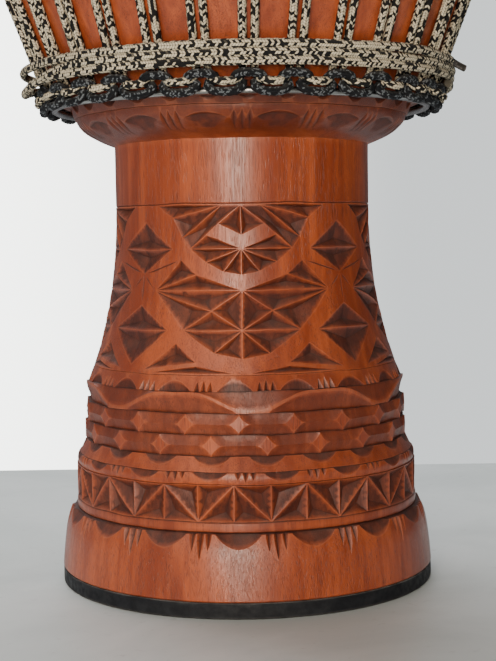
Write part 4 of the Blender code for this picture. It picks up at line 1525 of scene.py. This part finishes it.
class Effects:
    """The effects that the drum's materials share."""

    def __init__(self) -> None:
        """Builds each effect once."""
        self.grain = self.make_grain()
        self.wear_and_highlight = self.make_wear_and_highlight()
        self.dust = self.make_dust()
        self.plait = self.make_plait()

    def make_grain(self) -> Effect:
        """Upright wood grain: broad figure, fine fibre and short dark pores.

        Returns:
            The effect, with its fineness as a factor.
        """
        effect = Effect("upright_grain", {"Place": "vector", "Fineness": 1.0}, ("Figure", "Fibre", "Pores"))
        bench, given = effect.bench, effect.given
        scaled = {0: given["Place"], "Scale": given["Fineness"]}
        place = bench.add("ShaderNodeVectorMath", scaled, operation="SCALE").outputs[0]
        broad = bench.stretched_noise(place, (22.0, 22.0, 4.5), 3.0, 0.6)
        bands = bench.stretched_noise(place, (210.0, 210.0, 9.0), 2.0, 0.3)
        effect.give("Figure", bench.plus(bench.times(broad, 0.62), bench.times(bands, 0.38)))
        effect.give("Fibre", bench.stretched_noise(place, (1500.0, 1500.0, 45.0), 2.0))
        dashes = bench.stretched_noise(place, (2700.0, 2700.0, 120.0), 0.0)
        groups = bench.stretched_noise(place, (160.0, 160.0, 22.0), 1.0)
        level = bench.plus(dashes, bench.times(bench.math("SUBTRACT", groups, 0.5), 0.35))
        effect.give("Pores", bench.span(level, 0.6, 0.72))
        return effect

    def make_wear_and_highlight(self) -> Effect:
        """Wear along edges, and on the wood's crests also painted highlight: rubbed here and there, and not
        all along.

        Returns:
            The effect, which takes a mark of the edge and how far it spreads.
        """
        inputs = {"Place": "vector", "Edge": 0.0, "Spread": 0.5, "Scale": 60.0}
        effect = Effect("edge_wear_and_highlight", inputs, ("Mask",))
        bench, given = effect.bench, effect.given
        patches = bench.noise(given["Place"], given["Scale"], 3.0)
        start = bench.math("SUBTRACT", 1.0, given["Spread"])
        edge = bench.math("DIVIDE", bench.math("SUBTRACT", given["Edge"], start), given["Spread"])
        held = bench.math("MAXIMUM", bench.math("MINIMUM", edge, 1.0), 0.0)
        effect.give("Mask", bench.times(held, bench.span(patches, 0.3, 0.6, 0.35, 1.0)))
        return effect

    def make_dust(self) -> Effect:
        """Dust that settles on what faces up, in soft patches.

        Returns:
            The effect.
        """
        effect = Effect("settled_dust", {"Place": "vector", "Amount": 0.3, "Scale": 40.0}, ("Mask",))
        bench, given = effect.bench, effect.given
        normal = bench.add("ShaderNodeNewGeometry").outputs["Normal"]
        upward = bench.span(bench.along(normal, "Z"), 0.05, 0.9)
        patches = bench.span(bench.noise(given["Place"], given["Scale"], 4.0), 0.35, 0.7, 0.3, 1.0)
        effect.give("Mask", bench.times(bench.times(upward, patches), given["Amount"]))
        return effect

    def make_plait(self) -> Effect:
        """The stitches of a plait: columns whose stitches lean left and right by turns.

        Returns:
            The effect, with a chance for each stitch and the stitch's height.
        """
        inputs = {"Lay": "vector", "Columns": 6.0, "Pitch": 0.004, "Slant": 0.7}
        effect = Effect("plait", inputs, ("Chance", "Height"))
        bench, given = effect.bench, effect.given
        across = bench.times(bench.along(given["Lay"], "X"), given["Columns"])
        column = bench.math("FLOOR", across)
        within = bench.math("FRACT", across)
        odd = bench.math("MODULO", column, 2.0)
        flip = bench.times(odd, bench.math("SUBTRACT", 1.0, bench.times(within, 2.0)))
        lean = bench.times(bench.plus(within, flip), given["Slant"])
        along = bench.plus(bench.math("DIVIDE", bench.along(given["Lay"], "Y"), given["Pitch"]), lean)
        row = bench.math("FLOOR", along)
        step = bench.math("FRACT", along)
        cell = bench.add("ShaderNodeCombineXYZ", {0: column, 1: row}).outputs[0]
        effect.give("Chance", bench.add("ShaderNodeTexWhiteNoise", {"Vector": cell}).outputs["Value"])
        swells = []
        for share, power in ((within, 3.0), (step, 2.5)):
            centred = bench.math("SUBTRACT", bench.times(share, 2.0), 1.0)
            bow = bench.math("POWER", bench.math("ABSOLUTE", centred), power)
            swells.append(bench.math("SUBTRACT", 1.0, bow))
        effect.give("Height", bench.times(*swells))
        return effect


class Finish(Bench):
    """A material in the making, laid out round its shader."""

    def __init__(self, name: str, roughness: float = 0.5, **sockets: float) -> None:
        """Starts the material.

        Args:
            name: Its name.
            roughness: The roughness set on the shader.
            sockets: Further values for the shader, with _ for each space in a name.
        """
        self.material = bpy.data.materials.new(name)
        self.material.use_nodes = True
        super().__init__(self.material.node_tree)
        self.shader = self.tree.nodes["Principled BSDF"].inputs
        self.shader["Roughness"].default_value = roughness
        for title, value in sockets.items():
            self.shader[title.replace("_", " ")].default_value = value
        self.place = self.add("ShaderNodeTexCoord").outputs["Object"]

    def dusted(self, effects: Effects, colour: object, dust: Colour, amount: float, scale: float) -> object:
        """Lays settled dust over a colour.

        Args:
            effects: The shared effects.
            colour: The colour below.
            dust: The colour of the dust.
            amount: How much dust there is.
            scale: How fine its patches are.

        Returns:
            The colour under its dust.
        """
        mask = self.use(effects.dust, Place=self.place, Amount=amount, Scale=scale)["Mask"]
        return self.mix(mask, colour, dust)

    def relief(self, height: object, strength: float, distance: float) -> None:
        """Gives the surface fine bumps.

        Args:
            height: How high each spot is.
            strength: How strong the bumps are.
            distance: How high a height of one is.
        """
        inputs = {"Height": height, "Strength": strength, "Distance": distance}
        self.feed(self.shader["Normal"], self.add("ShaderNodeBump", inputs).outputs[0])

    def finished(self, colour: object, roughness: object = None) -> bpy.types.Material:
        """Links the colour, and the roughness if it varies.

        Args:
            colour: The colour.
            roughness: The roughness, or None where the shader's own value holds.

        Returns:
            The material.
        """
        self.feed(self.shader["Base Color"], colour)
        if roughness is not None:
            self.feed(self.shader["Roughness"], roughness)
        return self.material


@dataclass(frozen=True)
class OiledWood:
    """Red-brown wood under oil, dark in the cuts (partly stain, partly painted shade), with painted shade in
    the valleys and under the bowl, and pale along crests (partly rubbed edges, partly painted highlight).
    """

    light: Colour = (0.44, 0.092, 0.026)
    deep: Colour = (0.23, 0.038, 0.01)
    pore: Colour = (0.085, 0.018, 0.008)
    # cut: dark of the cuts, partly stain and partly painted shade; also the painted shade under the bowl.
    cut: Colour = (0.03, 0.004, 0.002)
    # valley: painted shade along the valleys.
    valley: Colour = (0.022, 0.005, 0.003)
    # rubbed: pale crests, partly wear and partly painted highlight.
    rubbed: Colour = (0.56, 0.17, 0.07)
    dust: Colour = (0.42, 0.38, 0.35)
    pore_strength: float = 0.5
    # Strength of the painted shade under the bowl.
    under_bowl_shade_strength: float = 0.55
    valley_shade_strength: float = 0.4
    rubbed_and_highlight_strength: float = 0.22

    def build(self, effects: Effects) -> bpy.types.Material:
        """Makes the material.

        Args:
            effects: The shared effects.

        Returns:
            The material.
        """
        wood = Finish("oiled_wood", Coat_Weight=0.08, Coat_Roughness=0.3, Specular_IOR_Level=0.45)
        depth, place = wood.mark("cut"), wood.place
        valley = wood.span(wood.mark("valley"), 0.35, 1.0)
        grain = wood.use(effects.grain, Place=place)
        wear_and_highlight = wood.use(effects.wear_and_highlight, Place=place, Edge=wood.mark("crest"), Spread=0.3, Scale=55.0)["Mask"]
        colour = wood.mix(wood.span(grain["Figure"], 0.36, 0.62), self.light, self.deep)
        colour = wood.mix(wood.span(grain["Fibre"], 0.42, 0.7, 0.0, 0.34), colour, self.deep)
        colour = wood.mix(wood.times(grain["Pores"], self.pore_strength), colour, self.pore)
        height = wood.along(place, "Z")
        # Painted shade under the bowl's overhang: the neck's top, the collar and its band.
        under_bowl_shade_mask = wood.times(wood.span(height, 270 * MM, 277 * MM), wood.span(height, 299 * MM, 296 * MM))
        uneven = wood.span(wood.stretched_noise(place, (190.0, 190.0, 80.0), 3.0), 0.35, 0.65, 0.74, 0.96)
        shaded = wood.times(under_bowl_shade_mask, self.under_bowl_shade_strength)
        # Darkens the cuts, partly stain and partly painted shade, and paints the shade under the bowl.
        colour = wood.mix(wood.math("MAXIMUM", wood.times(depth, uneven), shaded), colour, self.cut)
        # Painted shade along the valleys.
        colour = wood.mix(wood.times(valley, self.valley_shade_strength), colour, self.valley)
        # Pale crests: partly wear, partly painted highlight.
        colour = wood.mix(wood.times(wear_and_highlight, self.rubbed_and_highlight_strength), colour, self.rubbed)
        colour = wood.dusted(effects, colour, self.dust, amount=0.1, scale=70.0)
        chatter = wood.stretched_noise(place, (260.0, 260.0, 110.0), 2.0)
        bumps = wood.plus(wood.times(grain["Fibre"], 0.25), wood.times(grain["Pores"], -0.5))
        bumps = wood.plus(bumps, wood.times(wood.times(chatter, depth), 1.6))
        wood.relief(bumps, 0.7, 0.25 * MM)
        rough = wood.plus(wood.span(grain["Fibre"], 0.3, 0.7, 0.3, 0.42), wood.times(depth, 0.3))
        return wood.finished(colour, rough)


@dataclass(frozen=True)
class Braid:
    """Plaited rope or cord in two colours, with painted shade in the gaps between the stitches."""

    name: str
    light: Colour
    shade: Colour
    dark: Colour
    # gap: painted shade between the stitches.
    gap: Colour
    dark_share: float
    pitch: float
    columns: float
    roughness: float = 0.8
    dust: Colour = (0.5, 0.47, 0.42)

    def build(self, effects: Effects) -> bpy.types.Material:
        """Makes the material.

        Args:
            effects: The shared effects.

        Returns:
            The material.
        """
        braid = Finish(self.name, self.roughness, Specular_IOR_Level=0.25)
        lay = braid.add("ShaderNodeUVMap", uv_map=LAY_MAP).outputs[0]
        plait = braid.use(effects.plait, Lay=lay, Columns=self.columns, Pitch=self.pitch, Slant=0.8)
        tint = braid.noise(braid.place, 900.0)
        colour = braid.mix(braid.span(tint, 0.35, 0.65), self.light, self.shade)
        split, soft = 1.0 - self.dark_share, 0.01
        colour = braid.mix(braid.span(plait["Chance"], split - soft, split + soft), colour, self.dark)
        # Painted shade where the plait dips into the gaps between stitches.
        colour = braid.mix(braid.span(plait["Height"], 0.6, 0.0, 0.0, 0.9), colour, self.gap)
        fray = braid.times(braid.noise(braid.place, 2600.0), 0.25)
        braid.relief(braid.plus(plait["Height"], fray), 0.8, 0.5 * MM)
        return braid.finished(braid.dusted(effects, colour, self.dust, amount=0.1, scale=90.0))


@dataclass(frozen=True)
class DrawnSteel:
    """Bright steel rod with draw marks, dull patches and dust; its colours are kept dark overall as painted
    shade for the low ring under the bowl.
    """

    # Both colours are darker than bright steel: painted shade for the low ring under the bowl.
    bright: Colour = (0.40, 0.40, 0.39)
    dull: Colour = (0.18, 0.175, 0.17)
    stain: Colour = (0.16, 0.1, 0.07)
    dust: Colour = (0.5, 0.48, 0.45)

    def build(self, effects: Effects) -> bpy.types.Material:
        """Makes the material.

        Args:
            effects: The shared effects.

        Returns:
            The material.
        """
        steel = Finish("drawn_steel", Metallic=1.0)
        marks = steel.stretched_noise(steel.place, (60.0, 60.0, 3000.0), 3.0)
        patches = steel.noise(steel.place, 45.0, 4.0)
        colour = steel.mix(steel.span(marks, 0.35, 0.65), self.bright, self.dull)
        colour = steel.mix(steel.span(patches, 0.62, 0.8), colour, self.stain)
        colour = steel.dusted(effects, colour, self.dust, amount=0.25, scale=60.0)
        steel.relief(marks, 0.3, 0.1 * MM)
        rough = steel.plus(steel.span(marks, 0.3, 0.7, 0.2, 0.36), steel.span(patches, 0.6, 0.8, 0.0, 0.3))
        return steel.finished(colour, rough)


@dataclass(frozen=True)
class DullRubber:
    """Black rubber, dusty and scuffed."""

    black: Colour = (0.007, 0.008, 0.011)
    grey: Colour = (0.022, 0.024, 0.028)
    scuffed: Colour = (0.06, 0.058, 0.056)
    dust: Colour = (0.3, 0.29, 0.28)

    def build(self, effects: Effects) -> bpy.types.Material:
        """Makes the material.

        Args:
            effects: The shared effects.

        Returns:
            The material.
        """
        rubber = Finish("dull_rubber", Specular_IOR_Level=0.25)
        place = rubber.place
        low_edge = rubber.span(rubber.along(place, "Z"), 2.2 * MM, 0.2 * MM)
        scuff = rubber.use(effects.wear_and_highlight, Place=place, Edge=low_edge, Spread=0.9, Scale=120.0)["Mask"]
        mottle = rubber.span(rubber.noise(place, 160.0, 4.0), 0.4, 0.75, 0.0, 0.6)
        colour = rubber.mix(mottle, self.black, self.grey)
        colour = rubber.mix(rubber.times(scuff, 0.7), colour, self.scuffed)
        colour = rubber.dusted(effects, colour, self.dust, amount=0.5, scale=80.0)
        rubber.relief(rubber.noise(place, 1400.0, 3.0), 0.35, 0.2 * MM)
        return rubber.finished(colour, rubber.span(rubber.noise(place, 300.0, 3.0), 0.3, 0.7, 0.5, 0.75))


@dataclass(frozen=True)
class ShavedSkin:
    """Pale shaved goat skin with a darker line along its back, veins and patches."""

    pale: Colour = (0.70, 0.58, 0.41)
    warm: Colour = (0.50, 0.34, 0.19)
    spine: Colour = (0.26, 0.15, 0.08)
    dust: Colour = (0.7, 0.66, 0.6)

    def build(self, effects: Effects) -> bpy.types.Material:
        """Makes the material.

        Args:
            effects: The shared effects.

        Returns:
            The material.
        """
        skin = Finish("shaved_skin", 0.55)
        place = skin.place
        patches = skin.noise(place, 9.0, 5.0, 0.8)
        sway = skin.times(skin.math("SUBTRACT", skin.noise(place, 6.0), 0.5), 30 * MM)
        line = skin.span(skin.math("ABSOLUTE", skin.plus(skin.along(place, "X"), sway)), 26 * MM, 4 * MM)
        cells = {"Vector": place, "Scale": 55.0}
        pattern = skin.add("ShaderNodeTexVoronoi", cells, feature="DISTANCE_TO_EDGE").outputs[0]
        veins = skin.times(skin.span(pattern, 0.05, 0.0), skin.span(patches, 0.45, 0.65))
        hair = skin.stretched_noise(place, (2400.0, 500.0, 2400.0), 2.0)
        colour = skin.mix(skin.span(patches, 0.38, 0.68), self.pale, self.warm)
        colour = skin.mix(skin.times(line, 0.55), colour, self.spine)
        colour = skin.mix(skin.times(veins, 0.35), colour, self.warm)
        colour = skin.mix(skin.span(hair, 0.6, 0.75, 0.0, 0.4), colour, self.spine)
        colour = skin.dusted(effects, colour, self.dust, amount=0.1, scale=30.0)
        skin.relief(skin.plus(skin.times(hair, 0.4), skin.times(veins, 0.6)), 0.4, 0.25 * MM)
        return skin.finished(colour, skin.span(patches, 0.3, 0.7, 0.48, 0.66))


@dataclass(frozen=True)
class Lamp:
    """A soft area lamp."""

    name: str
    place: Stop
    aim: Stop
    side: float
    power: float
    colour: Colour

    def build(self) -> None:
        """Hangs the lamp and points it at its aim."""
        light = bpy.data.lights.new(self.name, "AREA")
        light.shape = "RECTANGLE"
        light.size = self.side
        light.size_y = self.side
        light.energy = self.power
        light.color = self.colour
        holder = bpy.data.objects.new(self.name, light)
        holder.location = self.place
        holder.rotation_mode = "QUATERNION"
        holder.rotation_quaternion = (Vector(self.aim) - Vector(self.place)).to_track_quat("-Z", "Y")
        bpy.context.scene.collection.objects.link(holder)


@dataclass
class Studio:
    """The camera at the photograph's angle, the floor and the soft light."""

    eye: Stop = (0.0025, -0.88, 0.215)
    pitch: float = 3.897
    roll: float = -0.85
    focal: float = 1380.8
    picture_height: float = 661.0
    film: float = 36.0
    near_limit: float = 0.05
    floor_back: float = 0.40
    floor_reach: float = 3.0
    floor_light: Colour = (0.80, 0.85, 0.835)
    floor_dull: Colour = (0.66, 0.71, 0.695)
    floor_speck: Colour = (0.36, 0.36, 0.35)
    seen_left: Colour = (4.8, 4.9, 4.7)
    seen_right: Colour = (1.0, 1.05, 1.06)
    lit_left: Colour = (0.25, 0.25, 0.26)
    lit_right: Colour = (0.05, 0.05, 0.055)
    lamps: tuple[Lamp, ...] = (
        Lamp("key_light", (-1.2, -1.7, 1.1), (0.0, 0.0, 0.22), 1.0, 5.0, (1.0, 0.95, 0.88)),
        Lamp("front_window", (-0.25, -2.3, 0.5), (0.0, 0.0, 0.32), 0.9, 50.0, (1.0, 0.88, 0.73)),
        Lamp("top_light", (-0.3, 0.9, 2.0), (0.0, 0.2, 0.0), 1.6, 46.0, (0.97, 0.98, 1.0)),
    )

    def camera(self) -> None:
        """Sets up the camera."""
        camera = bpy.data.cameras.new("view")
        camera.sensor_width = self.film
        camera.lens = self.film * self.focal / self.picture_height
        camera.clip_start = self.near_limit
        holder = bpy.data.objects.new("view", camera)
        holder.location = self.eye
        tilt = Euler((math.radians(90 - self.pitch), 0.0, 0.0)).to_quaternion()
        lean = Euler((0.0, 0.0, math.radians(self.roll))).to_quaternion()
        holder.rotation_mode = "QUATERNION"
        holder.rotation_quaternion = tilt @ lean
        bpy.context.scene.collection.objects.link(holder)
        bpy.context.scene.camera = holder

    def floor(self) -> None:
        """Makes the plain pale floor, with faint mottling."""
        reach, back = self.floor_reach, self.floor_back
        places = [(-reach, -reach, 0.0), (reach, -reach, 0.0), (reach, back, 0.0), (-reach, back, 0.0)]
        floor = new_object("floor", places, [[0, 1, 2, 3]], sharp=30.0)
        boards = Finish("pale_floor", 0.42)
        clouds = boards.noise(boards.place, 7.0, 6.0, 0.7)
        specks = boards.noise(boards.place, 130.0, 4.0)
        colour = boards.mix(boards.span(clouds, 0.35, 0.65), self.floor_light, self.floor_dull)
        colour = boards.mix(boards.span(specks, 0.62, 0.75, 0.0, 0.25), colour, self.floor_speck)
        floor.data.materials.append(boards.finished(colour, boards.span(clouds, 0.3, 0.7, 0.35, 0.5)))

    def surroundings(self) -> None:
        """A pale room: brighter on the left, dimmer at the front right."""
        world = bpy.data.worlds.new("pale_room")
        world.use_nodes = True
        bpy.context.scene.world = world
        bench = Bench(world.node_tree)
        direction = bench.add("ShaderNodeTexCoord").outputs["Generated"]
        to_right = bench.along(direction, "X")
        seen = bench.mix(bench.span(to_right, -0.2, 0.12), self.seen_left, self.seen_right)
        side = bench.plus(to_right, bench.times(bench.along(direction, "Y"), -0.55))
        lit = bench.mix(bench.span(side, -0.5, 0.6), self.lit_left, self.lit_right)
        camera_ray = bench.add("ShaderNodeLightPath").outputs["Is Camera Ray"]
        background = world.node_tree.nodes["Background"]
        bench.feed(background.inputs["Color"], bench.mix(camera_ray, lit, seen))

    def build(self) -> None:
        """Sets up the whole studio."""
        self.camera()
        self.floor()
        self.surroundings()
        for lamp in self.lamps:
            lamp.build()


PLAITED_ROPE = Braid(
    "braided_rope", light=(0.78, 0.70, 0.53), shade=(0.58, 0.50, 0.36), dark=(0.008, 0.008, 0.009),
    gap=(0.01, 0.009, 0.008), dark_share=0.38, pitch=1.55 * MM, columns=8.0,
)
BLACK_CORD = Braid(
    "black_cord", light=(0.008, 0.010, 0.014), shade=(0.004, 0.005, 0.008), dark=(0.16, 0.18, 0.20),
    gap=(0.003, 0.003, 0.004), dark_share=0.26, pitch=0.9 * MM, columns=12.0, roughness=0.6,
)
MELTED_ROPE = Braid(
    "melted_rope", light=(0.13, 0.11, 0.10), shade=(0.08, 0.07, 0.065), dark=(0.04, 0.035, 0.03),
    gap=(0.03, 0.028, 0.025), dark_share=0.3, pitch=1.75 * MM, columns=8.0, roughness=0.55,
)


def main() -> None:
    """Builds the drum's pieces in order, dresses them and sets up the studio."""
    logging.basicConfig(level=logging.INFO, format="%(message)s")
    Studio().build()
    effects = Effects()
    wood = OiledWood().build(effects)
    rope = PLAITED_ROPE.build(effects)
    steel = DrawnSteel().build(effects)
    shell = CarvedShell()
    lacing = Lacing()
    low_ring, crown_ring = lacing.rings()
    made = [
        (shell.build(), wood, "red_wood", "drum_shell"),
        (RubberRing().build(), DullRubber().build(effects), "black_rubber", "base_rubber_ring"),
        (low_ring, steel, "bright_steel", "bottom_ring"),
        (crown_ring, steel, "bright_steel", "crown_ring"),
        (lacing.cradle(), BLACK_CORD.build(effects), "black_cord", "bottom_cradle"),
        (lacing.lace(shell), rope, "braided_rope", "lacing_rope"),
        (lacing.wind(), rope, "braided_rope", "wrap_rope"),
        (lacing.end(), MELTED_ROPE.build(effects), "braided_rope", "wrap_rope"),
        (Drumhead().build(), ShavedSkin().build(effects), "drum_skin", "drumhead_skin"),
    ]
    for piece, material, slot, node in made:
        dress(piece, material, slot, node)
        triangles = sum(len(face.vertices) - 2 for face in piece.data.polygons)
        LOG.info("%s stands for %s: %d triangles", piece.name, node, triangles)


if __name__ == "__main__":
    main()
